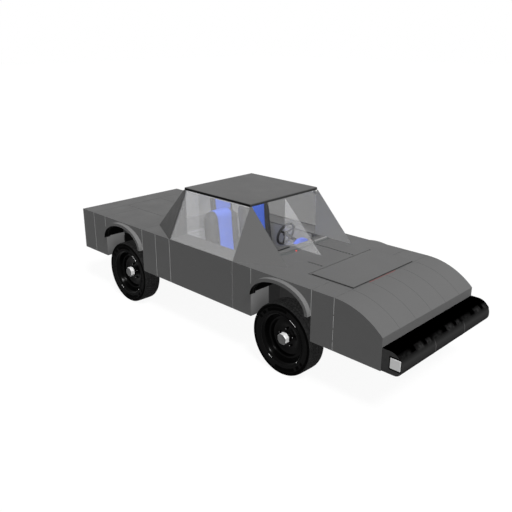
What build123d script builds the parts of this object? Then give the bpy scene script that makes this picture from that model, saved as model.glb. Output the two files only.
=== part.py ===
"""Boxy two-door vintage car on large wheels, built as separate body panels, running gear and cabin.

Frame: +X forward, +Y left, +Z up, millimetres.  The origin is on the ground, under the middle of
the car's box.  Sizes that can be set by themselves stand first; every place is worked out of them.
"""
import os
from math import cos, radians, sin, sqrt

from build123d import *

os.makedirs("parts", exist_ok=True)

# ---------------------------------------------------------------- lengths along the car
wheelbase = 2800.0
rear_overhang = 980.0          # rear axle to the tail of the body
front_overhang = 1260.0        # front axle to the flat front face
bumper_depth = 224.0
wheel_clearance = 12.0         # tyre to the ends of its wheel opening
fender_tail = 280.0            # fender between the wheel opening and the door
door_length = 1120.0
nose_length = 560.0            # curved nose ahead of the hood
screen_run = 560.0             # how far the windscreen and rear glass slope in plan
hood_length = 568.0
deck_strip = 280.0             # fixed strip of deck behind the trunk lid
trunk_lid_length = 812.0

# ---------------------------------------------------------------- heights
tyre_radius = 408.0
ground_clearance = 553.0       # ground to the underside of the body
body_height = 560.0            # underside to belt
greenhouse_height = 560.0      # belt to the underside of the roof
roof_thickness = 31.0
nose_drop = 224.0              # belt to the top of the flat front face
arch_straight = 280.0          # straight part of the wheel opening, below its curve
arch_cover = 48.0              # panel left above the wheel opening
cushion_rise = 217.0           # cabin floor to the top of the seat cushions
front_headroom = 210.0         # top of a front backrest to the roof
rear_headroom = 103.0

# ---------------------------------------------------------------- widths
body_half_width = 840.0
cabin_half_width = 560.0
roof_overhang = 8.0
wheel_y = 700.0
tyre_width = 230.0
front_well_y = 380.0           # inner wall of the front wheel wells
hood_ledge = 28.0              # fender's inner ledge beside the hood
trunk_lid_half_width = 280.0

# ---------------------------------------------------------------- wall thicknesses and gaps
skin = 30.0                    # side skin over the wheel openings
deck_thickness = 30.0
floor_thickness = 30.0
lid_thickness = 25.0
liner_thickness = 8.0
glass_thickness = 6.0
cut_past = 1.0                 # how far a cut runs past the face that it opens
panel_gap = 6.0                # round doors and lids
glass_gap = 12.0               # round the side glass, which swings with its door
running_gap = 0.06             # radial, at pins and spindles
seat_gap = 0.3                 # between pieces that rest on each other

# ---------------------------------------------------------------- stations worked out of them
arch_half_length = tyre_radius + wheel_clearance
arch_rise = body_height - arch_straight - arch_cover
hood_half_width = cabin_half_width - hood_ledge
tail_x = -(rear_overhang + wheelbase + front_overhang + bumper_depth) / 2
rear_axle_x = tail_x + rear_overhang
front_axle_x = rear_axle_x + wheelbase
face_x = front_axle_x + front_overhang
door_front_x = front_axle_x - arch_half_length - fender_tail
door_rear_x = door_front_x - door_length
nose_x = face_x - nose_length
screen_foot_x = door_front_x + screen_run
rear_glass_foot_x = door_rear_x - screen_run
firewall_x = front_axle_x - arch_half_length
bumper_front_x = face_x + bumper_depth
hood_front_x = nose_x - panel_gap
hood_rear_x = hood_front_x - hood_length
trunk_rear_x = tail_x + deck_strip + panel_gap
trunk_front_x = trunk_rear_x + trunk_lid_length

belt_z = ground_clearance + body_height
deck_under_z = belt_z - deck_thickness
floor_z = ground_clearance + floor_thickness
roof_under_z = belt_z + greenhouse_height
cushion_top_z = floor_z + cushion_rise
arch_spring_z = ground_clearance + arch_straight
well_top_z = arch_spring_z + arch_rise + liner_thickness


def save(builder, label):
    """Label the finished piece and write it as its own STEP file."""
    builder.part.label = label
    export_step(builder.part, f"parts/{label}.step")


def block(x_range, y_range, z_range, mode=Mode.ADD):
    """A box between two values on each axis, added to the part being built."""
    ranges = (x_range, y_range, z_range)
    centre = tuple((low + high) / 2 for low, high in ranges)
    with Locations(centre):
        Box(*(abs(high - low) for low, high in ranges), mode=mode)


def mirrored(piece, label):
    """The left-hand twin of a right-hand piece, saved under its own label."""
    with BuildPart() as twin:
        add(mirror(piece.part, about=Plane.XZ))
    save(twin, label)
    return twin


def wheel_opening(axle_x):
    """Face of the opening in the side skin: a rectangle with half an ellipse on top."""
    with BuildSketch(Plane.XZ) as opening:
        with Locations((axle_x, arch_spring_z - arch_straight / 2)):
            Rectangle(2 * arch_half_length, arch_straight)
        with Locations((axle_x, arch_spring_z)):
            Ellipse(arch_half_length - flare_thickness, arch_rise)
    return opening.sketch


# ================================================================ wheel openings and flares
flare_thickness = 38.0         # of the flare's band, in side view
flare_reach = 56.0             # how far it stands out from the side


def cut_wheel_well(axle_x):
    """Cut one wheel well into a right-hand side panel: the cavity, then the opening."""
    well_length = (axle_x - arch_half_length, axle_x + arch_half_length)
    block(
        well_length,
        (-body_half_width + skin, -cabin_half_width + cut_past),
        (ground_clearance - cut_past, well_top_z),
        mode=Mode.SUBTRACT,
    )
    extrude(
        wheel_opening(axle_x),
        amount=body_half_width + cut_past,
        mode=Mode.SUBTRACT,
    )


with BuildPart() as wheel_flares:
    for axle_x in (front_axle_x, rear_axle_x):
        with BuildSketch(Plane.XZ.offset(body_half_width)) as band:
            with Locations((axle_x, arch_spring_z)):
                Ellipse(arch_half_length, arch_rise + flare_thickness)
                Ellipse(arch_half_length - flare_thickness, arch_rise, mode=Mode.SUBTRACT)
            with Locations((axle_x, arch_spring_z - arch_rise)):
                Rectangle(2 * (arch_half_length + cut_past), 2 * arch_rise, mode=Mode.SUBTRACT)
        extrude(amount=flare_reach)
    mirror(about=Plane.XZ)
save(wheel_flares, "wheel_flares")

# ================================================================ hinges
hinge_radius = 12.0            # rolled edge of a door or lid, round its hinge line
hinge_pin_radius = 4.0
hinge_pin_reach = 14.0         # pin into the panel, each side of its knuckle
knuckle_length = 40.0
knuckle_gap = 5.0              # panel to fixed knuckle
door_hinge_inset = 130.0       # hinge to the door's lower or upper edge
lid_hinge_inset = 152.0        # hinge to the hood's side edge
trunk_hinge_inset = 100.0
door_hinge_x = door_front_x - panel_gap - hinge_radius
door_hinge_y = -body_half_width + hinge_radius
door_hinge_heights = (ground_clearance + door_hinge_inset, belt_z - door_hinge_inset)
lid_hinge_z = belt_z - hinge_radius
hood_hinge_x = hood_rear_x + hinge_radius
trunk_hinge_x = trunk_front_x - hinge_radius
hood_hinge_y = hood_half_width - lid_hinge_inset
trunk_hinge_y = trunk_lid_half_width - trunk_hinge_inset


def fixed_knuckle(centre, along, arm):
    """A hinge knuckle with its pin, and an arm that joins it to the fixed panel.

    centre is the knuckle's middle, along the hinge line's direction, and arm a vector from the
    hinge line to the fixed panel.
    """
    line = Plane(centre, z_dir=along)
    with BuildSketch(line.offset(-knuckle_length / 2)) as barrel:
        Circle(hinge_radius)
    extrude(barrel.sketch, amount=knuckle_length)
    with BuildSketch(line.offset(-knuckle_length / 2 - hinge_pin_reach)) as pin:
        Circle(hinge_pin_radius)
    extrude(pin.sketch, amount=knuckle_length + 2 * hinge_pin_reach)
    start = Vector(*centre)
    end = start + Vector(*arm)
    half = Vector(*along) * (knuckle_length / 2)
    across = Vector(*arm).normalized().cross(Vector(*along)) * (hinge_radius / 2)
    corners = [start - half - across, start + half + across, end - half - across, end + half + across]
    block(
        (min(c.X for c in corners), max(c.X for c in corners)),
        (min(c.Y for c in corners), max(c.Y for c in corners)),
        (min(c.Z for c in corners), max(c.Z for c in corners)),
    )


def knuckle_pocket(centre, along):
    """Cut the room for a fixed knuckle out of a swinging panel, with the bores for its pin."""
    line = Plane(centre, z_dir=along)
    half = knuckle_length / 2 + knuckle_gap
    with BuildSketch(line.offset(-half)) as room:
        Circle(hinge_radius + knuckle_gap + cut_past)
    extrude(room.sketch, amount=2 * half, mode=Mode.SUBTRACT)
    bore_half = knuckle_length / 2 + hinge_pin_reach + cut_past
    with BuildSketch(line.offset(-bore_half)) as bore:
        Circle(hinge_pin_radius + running_gap)
    extrude(bore.sketch, amount=2 * bore_half, mode=Mode.SUBTRACT)


# ================================================================ body sides
door_shut_slant = 80.0         # the door's rear end and its jamb lean forward going inboard

with BuildPart() as quarter_right:
    with BuildSketch(Plane.XY.offset(ground_clearance)):
        with BuildLine():
            Polyline(
                (tail_x, -body_half_width),
                (door_rear_x, -body_half_width),
                (door_rear_x + door_shut_slant, -cabin_half_width),
                (tail_x, -cabin_half_width),
                close=True,
            )
        make_face()
    extrude(amount=body_height)
    cut_wheel_well(rear_axle_x)
save(quarter_right, "quarter_right")
quarter_left = mirrored(quarter_right, "quarter_left")

with BuildPart() as fender_right:
    block(
        (door_front_x, nose_x),
        (-body_half_width, -cabin_half_width),
        (ground_clearance, belt_z),
    )
    block(
        (hood_rear_x - panel_gap, nose_x),
        (-cabin_half_width, -hood_half_width - panel_gap),
        (deck_under_z, belt_z),
    )
    cut_wheel_well(front_axle_x)
    for height in door_hinge_heights:
        fixed_knuckle(
            (door_hinge_x, door_hinge_y, height),
            along=(0, 0, 1),
            arm=(panel_gap + hinge_radius, 0, 0),
        )
save(fender_right, "fender_right")
fender_left = mirrored(fender_right, "fender_left")

# ================================================================ nose, tail and decks
with BuildPart() as nose_panel:
    nose_radius = (nose_length**2 + nose_drop**2) / (2 * nose_drop)
    with BuildSketch(Plane.XZ.offset(-body_half_width)) as profile:
        with BuildLine():
            top = TangentArc((nose_x, belt_z), (face_x, belt_z - nose_drop), tangent=(1, 0))
            Polyline(
                top @ 1,
                (face_x, ground_clearance),
                (nose_x, ground_clearance),
                top @ 0,
            )
        make_face()
    extrude(amount=2 * body_half_width)
    with BuildSketch(Plane.XZ.offset(-body_half_width + skin)) as hollow:
        with BuildLine():
            inner = TangentArc(
                (nose_x, deck_under_z),
                (face_x - skin, belt_z - nose_drop - deck_thickness),
                tangent=(1, 0),
            )
            Polyline(
                inner @ 1,
                (face_x - skin, ground_clearance),
                (nose_x, ground_clearance),
                inner @ 0,
            )
        make_face()
    extrude(amount=2 * (body_half_width - skin), mode=Mode.SUBTRACT)
save(nose_panel, "nose_panel")

with BuildPart() as tail_panel:
    block(
        (tail_x, tail_x + skin),
        (-cabin_half_width, cabin_half_width),
        (ground_clearance, deck_under_z),
    )
save(tail_panel, "tail_panel")

shelf_length = 480.0           # parcel shelf under the rear glass
shelf_front_x = rear_glass_foot_x + shelf_length

with BuildPart() as rear_deck:
    block(
        (tail_x, shelf_front_x),
        (-cabin_half_width, cabin_half_width),
        (deck_under_z, belt_z),
    )
    block(
        (trunk_rear_x - panel_gap, trunk_front_x + panel_gap),
        (-trunk_lid_half_width - panel_gap, trunk_lid_half_width + panel_gap),
        (deck_under_z, belt_z),
        mode=Mode.SUBTRACT,
    )
    for y in (-trunk_hinge_y, trunk_hinge_y):
        fixed_knuckle(
            (trunk_hinge_x, y, lid_hinge_z),
            along=(0, 1, 0),
            arm=(panel_gap + hinge_radius, 0, 0),
        )
save(rear_deck, "rear_deck")

with BuildPart() as cowl:
    block(
        (firewall_x - skin, hood_rear_x - panel_gap),
        (-cabin_half_width, cabin_half_width),
        (deck_under_z, belt_z),
    )
    for y in (-hood_hinge_y, hood_hinge_y):
        fixed_knuckle(
            (hood_hinge_x, y, lid_hinge_z),
            along=(0, 1, 0),
            arm=(-panel_gap - hinge_radius, 0, 0),
        )
save(cowl, "cowl")

bulkhead_x = rear_glass_foot_x

with BuildPart() as floor_tub:
    block(
        (tail_x + skin, firewall_x - skin),
        (-cabin_half_width + panel_gap, cabin_half_width - panel_gap),
        (ground_clearance, floor_z),
    )
    for x_low in (firewall_x - skin, bulkhead_x - skin):
        block(
            (x_low, x_low + skin),
            (-cabin_half_width, cabin_half_width),
            (ground_clearance, deck_under_z),
        )
save(floor_tub, "floor_tub")

with BuildPart() as wheel_housings:
    for axle_x, inner_y in ((front_axle_x, front_well_y), (rear_axle_x, cabin_half_width)):
        ends = (axle_x - arch_half_length, axle_x + arch_half_length)
        outer_y = body_half_width - skin
        block(ends, (-outer_y, -inner_y), (arch_spring_z, well_top_z))
        if inner_y < cabin_half_width:
            block(ends, (-cabin_half_width, -inner_y), (ground_clearance, arch_spring_z))
        block(
            (ends[0] + liner_thickness, ends[1] - liner_thickness),
            (-outer_y, -inner_y - liner_thickness),
            (ground_clearance, well_top_z - liner_thickness),
            mode=Mode.SUBTRACT,
        )
    mirror(about=Plane.XZ)
save(wheel_housings, "wheel_housings")

# ================================================================ greenhouse
with BuildPart() as roof:
    roof_half_width = cabin_half_width + roof_overhang
    block(
        (door_rear_x, door_front_x),
        (-roof_half_width, roof_half_width),
        (roof_under_z, roof_under_z + roof_thickness),
    )
save(roof, "roof")

pillar_top_run = 24.0          # size of a pillar's top along the car
pillar_top_width = 12.0        # and across it
pillar_foot_width = body_half_width - cabin_half_width


def corner_pillar(x, foot_run, top_run):
    """A right-hand corner pillar: a three-sided foot on the belt, drawn up to a small top."""
    with BuildSketch(Plane.XY.offset(belt_z)) as foot:
        with BuildLine():
            Polyline(
                (x, -cabin_half_width),
                (x, -cabin_half_width - pillar_foot_width),
                (x + foot_run, -cabin_half_width),
                close=True,
            )
        make_face()
    with BuildSketch(Plane.XY.offset(roof_under_z)) as head:
        with BuildLine():
            Polyline(
                (x, -cabin_half_width),
                (x, -cabin_half_width - pillar_top_width),
                (x + top_run, -cabin_half_width),
                close=True,
            )
        make_face()
    loft(sections=[foot.sketch, head.sketch])


with BuildPart() as a_pillars:
    corner_pillar(door_front_x, screen_run, pillar_top_run)
    mirror(about=Plane.XZ)
save(a_pillars, "a_pillars")

with BuildPart() as c_pillars:
    corner_pillar(door_rear_x, -screen_run, -pillar_top_run)
    mirror(about=Plane.XZ)
save(c_pillars, "c_pillars")

pane_run = glass_thickness * sqrt(screen_run**2 + greenhouse_height**2) / greenhouse_height


def sloping_pane(top_x, foot_x, y_range):
    """A flat pane from the roof's edge down to the belt, cut level at both ends."""
    inward = pane_run if foot_x < top_x else -pane_run
    with BuildSketch(Plane.XZ.offset(-y_range[1])) as outline:
        with BuildLine():
            Polyline(
                (top_x, roof_under_z),
                (foot_x, belt_z),
                (foot_x + inward, belt_z),
                (top_x + inward, roof_under_z),
                close=True,
            )
        make_face()
    extrude(outline.sketch, amount=y_range[1] - y_range[0])


with BuildPart() as windscreen:
    sloping_pane(door_front_x, screen_foot_x, (-cabin_half_width, cabin_half_width))
save(windscreen, "windscreen")

with BuildPart() as rear_glass:
    sloping_pane(door_rear_x, rear_glass_foot_x, (-cabin_half_width, cabin_half_width))
save(rear_glass, "rear_glass")


def glass_web(start_x, top_x, foot_x):
    """A fin in the car's middle plane that stands on the belt, close under a sloping pane."""
    inward = pane_run if foot_x < top_x else -pane_run
    drop = (abs(start_x - top_x) + pane_run) * greenhouse_height / screen_run
    with BuildSketch(Plane.XZ.offset(-glass_thickness / 2)) as fin:
        with BuildLine():
            Polyline(
                (start_x, belt_z),
                (foot_x + inward, belt_z),
                (start_x, roof_under_z - drop),
                close=True,
            )
        make_face()
    extrude(fin.sketch, amount=glass_thickness)


with BuildPart() as windscreen_web:
    glass_web(door_front_x, door_front_x, screen_foot_x)
save(windscreen_web, "windscreen_web")

with BuildPart() as rear_web:
    glass_web(shelf_front_x, door_rear_x, rear_glass_foot_x)
save(rear_web, "rear_web")

# ================================================================ doors and side glass
with BuildPart() as door_right:
    door_near_x = door_front_x - panel_gap
    door_far_x = door_rear_x + panel_gap
    with BuildSketch(Plane.XY.offset(ground_clearance)):
        with BuildLine():
            Polyline(
                (door_near_x, -body_half_width),
                (door_near_x, -cabin_half_width),
                (door_far_x + door_shut_slant, -cabin_half_width),
                (door_far_x, -body_half_width),
                close=True,
            )
        make_face()
        outer_front = vertices().sort_by(Axis.X)[-2:].sort_by(Axis.Y)[0]
        fillet(outer_front, radius=hinge_radius)
    extrude(amount=body_height)
    for height in door_hinge_heights:
        knuckle_pocket((door_hinge_x, door_hinge_y, height), along=(0, 0, 1))
save(door_right, "door_right")
door_left = mirrored(door_right, "door_left")

with BuildPart() as side_glass_right:
    glass_foot_y = door_hinge_y
    glass_lean = (body_half_width - cabin_half_width) / greenhouse_height
    glass_height = greenhouse_height - panel_gap
    glass_plane = Plane.YZ.offset(door_rear_x + glass_gap)
    with BuildSketch(glass_plane) as pane:
        with BuildLine():
            Polyline(
                (glass_foot_y, belt_z),
                (glass_foot_y + glass_lean * glass_height, belt_z + glass_height),
                (glass_foot_y + glass_lean * glass_height + glass_thickness, belt_z + glass_height),
                (glass_foot_y + glass_thickness, belt_z),
                close=True,
            )
        make_face()
    extrude(amount=door_length - 2 * glass_gap)
save(side_glass_right, "side_glass_right")
side_glass_left = mirrored(side_glass_right, "side_glass_left")

# ================================================================ hood and trunk lid
hood_rise = 14.0               # the hood's raised panel above the cowl
hood_step = 40.0               # from the hood's rear edge to its raised panel

with BuildPart() as hood:
    with BuildSketch(Plane.XZ.offset(-hood_half_width)):
        with Locations(((hood_rear_x + hood_front_x) / 2, belt_z - lid_thickness / 2)):
            Rectangle(hood_length, lid_thickness)
        fillet(vertices().group_by(Axis.Y)[-1].sort_by(Axis.X)[0], radius=hinge_radius)
    extrude(amount=2 * hood_half_width)
    block(
        (hood_rear_x + hood_step, hood_front_x),
        (-hood_half_width, hood_half_width),
        (belt_z - lid_thickness, belt_z + hood_rise),
    )
    for y in (-hood_hinge_y, hood_hinge_y):
        knuckle_pocket((hood_hinge_x, y, lid_hinge_z), along=(0, 1, 0))
save(hood, "hood")

with BuildPart() as trunk_lid:
    with BuildSketch(Plane.XZ.offset(-trunk_lid_half_width)):
        with Locations(((trunk_rear_x + trunk_front_x) / 2, belt_z - lid_thickness / 2)):
            Rectangle(trunk_lid_length, lid_thickness)
        fillet(vertices().group_by(Axis.Y)[-1].sort_by(Axis.X)[-1], radius=hinge_radius)
    extrude(amount=2 * trunk_lid_half_width)
    for y in (-trunk_hinge_y, trunk_hinge_y):
        knuckle_pocket((trunk_hinge_x, y, lid_hinge_z), along=(0, 1, 0))
save(trunk_lid, "trunk_lid")

# ================================================================ front bumper
bumper_lift = 8.0              # underside of the body to the underside of the bumper
bumper_bottom_z = ground_clearance + bumper_lift
bumper_height = 236.0
bumper_lower_radius = 84.0
bumper_crown = 140.0           # radius of its rounded upper front edge
bumper_seam_y = 280.0
bumper_seam = 4.0

with BuildPart() as front_bumper:
    with BuildSketch(Plane.XZ.offset(-body_half_width)):
        with Locations(((face_x + bumper_front_x) / 2, bumper_bottom_z + bumper_height / 2)):
            Rectangle(bumper_depth, bumper_height)
        front_corners = vertices().group_by(Axis.X)[-1]
        fillet(front_corners.sort_by(Axis.Y)[-1], radius=bumper_crown)
        fillet(vertices().sort_by(Axis.X)[-2:].sort_by(Axis.Y)[0], radius=bumper_lower_radius)
    extrude(amount=2 * body_half_width)
    for y in (-bumper_seam_y, bumper_seam_y):
        block(
            (bumper_front_x - bumper_depth + bumper_seam, bumper_front_x + cut_past),
            (y - bumper_seam / 2, y + bumper_seam / 2),
            (bumper_bottom_z - cut_past, bumper_bottom_z + bumper_height + cut_past),
            mode=Mode.SUBTRACT,
        )
save(front_bumper, "front_bumper")

lamp_length = 124.0
lamp_height = 118.0
lamp_corner = 8.0
lamp_setback = 72.0            # middle of the lamp to the front of the bumper
lamp_centre_x = bumper_front_x - lamp_setback
lamp_centre_z = bumper_bottom_z + lamp_height
lamp_proud = 6.0

with BuildPart() as bumper_lamps:
    with BuildSketch(Plane.XZ.offset(body_half_width)):
        with Locations((lamp_centre_x, lamp_centre_z)):
            RectangleRounded(lamp_length, lamp_height, lamp_corner)
    extrude(amount=lamp_proud)
    mirror(about=Plane.XZ)
save(bumper_lamps, "bumper_lamps")

tail_lamp_width = 220.0
tail_lamp_height = 80.0
tail_lamp_corner = 12.0
tail_lamp_inset = 50.0         # from the body's side and its belt

with BuildPart() as tail_lamps:
    with BuildSketch(Plane.YZ.offset(tail_x - lamp_proud)):
        for side in (-1, 1):
            with Locations((
                side * (body_half_width - tail_lamp_inset - tail_lamp_width / 2),
                belt_z - tail_lamp_inset - tail_lamp_height / 2,
            )):
                RectangleRounded(tail_lamp_width, tail_lamp_height, tail_lamp_corner)
    extrude(amount=lamp_proud)
save(tail_lamps, "tail_lamps")

# ================================================================ chassis
rail_y = 330.0
rail_width = 70.0
rail_height = 80.0
rail_top_z = ground_clearance
rail_bottom_z = rail_top_z - rail_height
rail_inset = 80.0              # ends of the rails to the ends of the body
rail_rear_x = tail_x + rail_inset
rail_front_x = face_x - rail_inset
cross_width = 70.0
cross_height = 40.0
engine_length = 640.0
engine_half_width = 210.0
engine_height = 480.0
engine_gap = 90.0              # firewall to engine
engine_rear_x = firewall_x + engine_gap
tow_plate = 16.0
tow_hole_radius = 18.0
tow_drop = 75.0                # crossmember's underside to the bottom of a tow plate
tow_corner = 20.0

with BuildPart() as frame_rails:
    block(
        (rail_rear_x, rail_front_x),
        (rail_y - rail_width / 2, rail_y + rail_width / 2),
        (rail_bottom_z, rail_top_z),
    )
    mirror(about=Plane.XZ)
save(frame_rails, "frame_rails")

cross_xs = (
    rail_rear_x + cross_width / 2,
    bulkhead_x,
    engine_rear_x + cross_width,
    engine_rear_x + engine_length - cross_width,
    rail_front_x - cross_width / 2,
)

with BuildPart() as crossmembers:
    for x in cross_xs:
        block(
            (x - cross_width / 2, x + cross_width / 2),
            (-rail_y + rail_width / 2, rail_y - rail_width / 2),
            (rail_bottom_z, rail_bottom_z + cross_height),
        )
save(crossmembers, "crossmembers")

with BuildPart() as tow_eyes:
    for x in (cross_xs[0], cross_xs[-1]):
        with BuildSketch(Plane.XZ.offset(-tow_plate / 2)) as eye:
            with Locations((x, rail_bottom_z - tow_drop / 2)):
                Rectangle(cross_width, tow_drop)
                fillet(eye.vertices().group_by(Axis.Y)[0], radius=tow_corner)
                Circle(tow_hole_radius, mode=Mode.SUBTRACT)
        extrude(amount=tow_plate)
save(tow_eyes, "tow_eyes")

with BuildPart() as engine_block:
    block(
        (engine_rear_x, engine_rear_x + engine_length),
        (-engine_half_width, engine_half_width),
        (rail_bottom_z + cross_height, rail_bottom_z + cross_height + engine_height),
    )
save(engine_block, "engine_block")

# ---------------------------------------------------------------- axles, springs, knuckles
axle_z = tyre_radius
spindle_radius = 20.0
kingpin_radius = 12.0
kingpin_inset = 35.0           # kingpin to the inner end of the wheel's hub
knuckle_radius = 30.0
knuckle_height = 90.0
ear_thickness = 16.0
beam_height = 60.0
beam_width = 60.0
beam_drop = 60.0               # middle of the front beam below the wheel centres
hub_length = 46.0
hub_inset = 3.0                # inner end of the hub, inboard of the middle of the tyre
hub_y = wheel_y - hub_inset
kingpin_y = hub_y - kingpin_inset
ear_gap = 8.0                  # steering knuckle to the axle's end post
post_width = 40.0
axle_end_gap = 8.0             # end of the rear axle's tube to the hub
hub_radius = 48.0
spring_width = 60.0
spring_thickness = 24.0
spring_half_length = 480.0

with BuildPart() as front_axle:
    beam_top = axle_z - beam_drop + beam_height / 2
    ear_inner_y = kingpin_y - knuckle_radius - ear_gap
    block(
        (front_axle_x - beam_width / 2, front_axle_x + beam_width / 2),
        (-ear_inner_y, ear_inner_y),
        (beam_top - beam_height, beam_top),
    )
    for side in (-1, 1):
        post_y = side * (ear_inner_y - post_width / 2)
        block(
            (front_axle_x - beam_width / 2, front_axle_x + beam_width / 2),
            (post_y - post_width / 2, post_y + post_width / 2),
            (beam_top - beam_height, axle_z + knuckle_height / 2 + ear_thickness),
        )
        for low in (axle_z - knuckle_height / 2 - ear_thickness, axle_z + knuckle_height / 2):
            ends = sorted((post_y, side * kingpin_y))
            block(
                (front_axle_x - beam_width / 2, front_axle_x + beam_width / 2),
                ends,
                (low, low + ear_thickness),
            )
            with Locations((front_axle_x, side * kingpin_y, low + ear_thickness / 2)):
                Cylinder(beam_width / 2, ear_thickness)
        with Locations((front_axle_x, side * kingpin_y, axle_z)):
            Cylinder(kingpin_radius, knuckle_height + ear_thickness)
save(front_axle, "front_axle")

with BuildPart() as knuckle_right:
    with Locations((front_axle_x, -kingpin_y, axle_z)):
        Cylinder(knuckle_radius, knuckle_height - 2 * seat_gap)
    spindle_end_y = -(hub_y + hub_length)
    with BuildSketch(Plane.XZ.offset(kingpin_y)) as spindle:
        with Locations((front_axle_x, axle_z)):
            Circle(spindle_radius)
    extrude(amount=-spindle_end_y - kingpin_y)
    with Locations((front_axle_x, -kingpin_y, axle_z)):
        Cylinder(kingpin_radius + running_gap, knuckle_height, mode=Mode.SUBTRACT)
save(knuckle_right, "knuckle_right")
knuckle_left = mirrored(knuckle_right, "knuckle_left")

tube_radius = 38.0
differential_radius = 120.0
differential_width = 180.0
differential_rounding = 40.0

with BuildPart() as rear_axle:
    with Locations(Location((rear_axle_x, 0, axle_z), (90, 0, 0))):
        Cylinder(tube_radius, 2 * (hub_y - axle_end_gap))
        Cylinder(spindle_radius, 2 * (hub_y + hub_length))
        Cylinder(differential_radius, differential_width)
    fillet(
        edges().filter_by(GeomType.CIRCLE).filter_by(lambda e: e.radius == differential_radius),
        differential_rounding,
    )
save(rear_axle, "rear_axle")

with BuildPart() as leaf_springs:
    seats = ((front_axle_x, beam_top), (rear_axle_x, axle_z - tube_radius - spring_thickness))
    for axle_x, seat_z in seats:
        with BuildSketch(Plane.XZ.offset(-rail_y - spring_width / 2)) as leaf:
            with BuildLine():
                lower = ThreePointArc(
                    (axle_x - spring_half_length, rail_bottom_z - spring_thickness),
                    (axle_x, seat_z),
                    (axle_x + spring_half_length, rail_bottom_z - spring_thickness),
                )
                upper = ThreePointArc(
                    (axle_x - spring_half_length, rail_bottom_z),
                    (axle_x, seat_z + spring_thickness),
                    (axle_x + spring_half_length, rail_bottom_z),
                )
                Line(lower @ 0, upper @ 0)
                Line(lower @ 1, upper @ 1)
            make_face()
        extrude(amount=spring_width)
    mirror(about=Plane.XZ)
save(leaf_springs, "leaf_springs")

# ================================================================ wheels
rim_radius = 285.0             # lip of the rim, where the tyre starts
rim_wall = 12.0
disc_thickness = 14.0
disc_offset = 15.0             # outer face of the wheel disc, outboard of the middle of the tyre
disc_y = wheel_y + disc_offset
barrel_taper = 30.0            # from the lip down to the disc
lip_inset = 6.0                # lip of the rim, inboard of the tyre's side
tyre_shoulder = 28.0
cap_radius = 55.0
cap_foot = 30.0                # hub's boss under the cap
cap_height = 46.0
hub_end_gap = 1.0              # end of the spindle to the hub's blind end


def turned(profile_points, axle_x, side):
    """Revolve an outline of (radius, distance from the middle of the car) about a wheel's axis."""
    with BuildSketch(Plane(origin=(axle_x, 0, axle_z), x_dir=(0, 0, 1), z_dir=(-1, 0, 0))) as outline:
        with BuildLine():
            Polyline(*[(radius, side * y) for radius, y in profile_points], close=True)
        make_face()
    revolve(outline.sketch, axis=Axis((axle_x, 0, axle_z), (0, 1, 0)))


def wheel(axle_x, side, name):
    """Tyre, rim with its disc and hub, and hub cap of one wheel."""
    inner_y = wheel_y - tyre_width / 2
    outer_y = wheel_y + tyre_width / 2
    with BuildPart() as tyre:
        turned(
            [
                (rim_radius, inner_y + lip_inset),
                (tyre_radius - tyre_shoulder, inner_y),
                (tyre_radius, inner_y + tyre_shoulder),
                (tyre_radius, outer_y - tyre_shoulder),
                (tyre_radius - tyre_shoulder, outer_y),
                (rim_radius, outer_y - lip_inset),
            ],
            axle_x,
            side,
        )
    save(tyre, f"tyre_{name}")
    with BuildPart() as rim:
        bore = spindle_radius + running_gap
        turned(
            [
                (rim_radius, inner_y + lip_inset),
                (rim_radius, outer_y - lip_inset),
                (rim_radius - rim_wall, outer_y - lip_inset),
                (rim_radius - rim_wall - barrel_taper, disc_y),
                (cap_radius, disc_y),
                (cap_radius, disc_y + cap_foot),
                (0, disc_y + cap_foot),
                (0, hub_y + hub_length + hub_end_gap),
                (bore, hub_y + hub_length + hub_end_gap),
                (bore, hub_y + seat_gap),
                (hub_radius, hub_y + seat_gap),
                (hub_radius, disc_y - disc_thickness),
                (rim_radius - rim_wall - barrel_taper, disc_y - disc_thickness),
                (rim_radius - rim_wall, inner_y + lip_inset),
            ],
            axle_x,
            side,
        )
    save(rim, f"rim_{name}")
    with BuildPart() as cap:
        base = disc_y + cap_foot
        with BuildSketch(Plane.XZ.offset(-side * base)) as octagon:
            with Locations((axle_x, axle_z)):
                RegularPolygon(cap_radius, 8)
        extrude(octagon.sketch, amount=-side * cap_height)
    save(cap, f"hub_cap_{name}")


for axle_x, place in ((front_axle_x, "front"), (rear_axle_x, "rear")):
    for side, hand in ((1, "left"), (-1, "right")):
        wheel(axle_x, side, f"{place}_{hand}")

# ================================================================ cabin
seat_width = 434.0
seat_side_gap = 29.0           # front seat to the door's inner face
front_seat_y = cabin_half_width - seat_side_gap - seat_width / 2
dash_setback = 56.0            # dashboard's face behind the top of the windscreen
dash_face_x = door_front_x + dash_setback
dash_front_x = firewall_x - skin
dash_height = 200.0
dash_side_gap = 2.0
steering_reach = 304.0         # dashboard's face to the steering wheel
steering_rise = 8.0            # belt to the middle of the steering wheel
steering_inset = 20.0          # steering wheel inboard of the middle of the seat
steering_x = dash_face_x - steering_reach
steering_y = front_seat_y - steering_inset
steering_z = belt_z + steering_rise
steering_tilt = 16.0           # column above level
steering_rim_radius = 140.0
steering_rim_section = 16.0
column_radius = 22.0
column_tip_radius = 10.0
column_tip = 26.0
column_collar = 16.0           # wheel's plane to the end of the thick column
column_mount = 60.0            # half width of the cut where the column meets the dashboard
hub_plate_radius = 36.0
hub_plate_thickness = 32.0
spoke_width = 26.0
spoke_thickness = 12.0
binnacle_length = 60.0         # along the car
binnacle_inner_y = 88.0
binnacle_width = 222.0         # at its foot
binnacle_taper = 60.0          # lost from each side by the top
binnacle_height = 42.0

with BuildPart() as dashboard:
    dash_half_width = cabin_half_width - dash_side_gap
    block(
        (dash_face_x, dash_front_x),
        (-dash_half_width, dash_half_width),
        (belt_z - dash_height, belt_z),
    )
save(dashboard, "dashboard")

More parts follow.
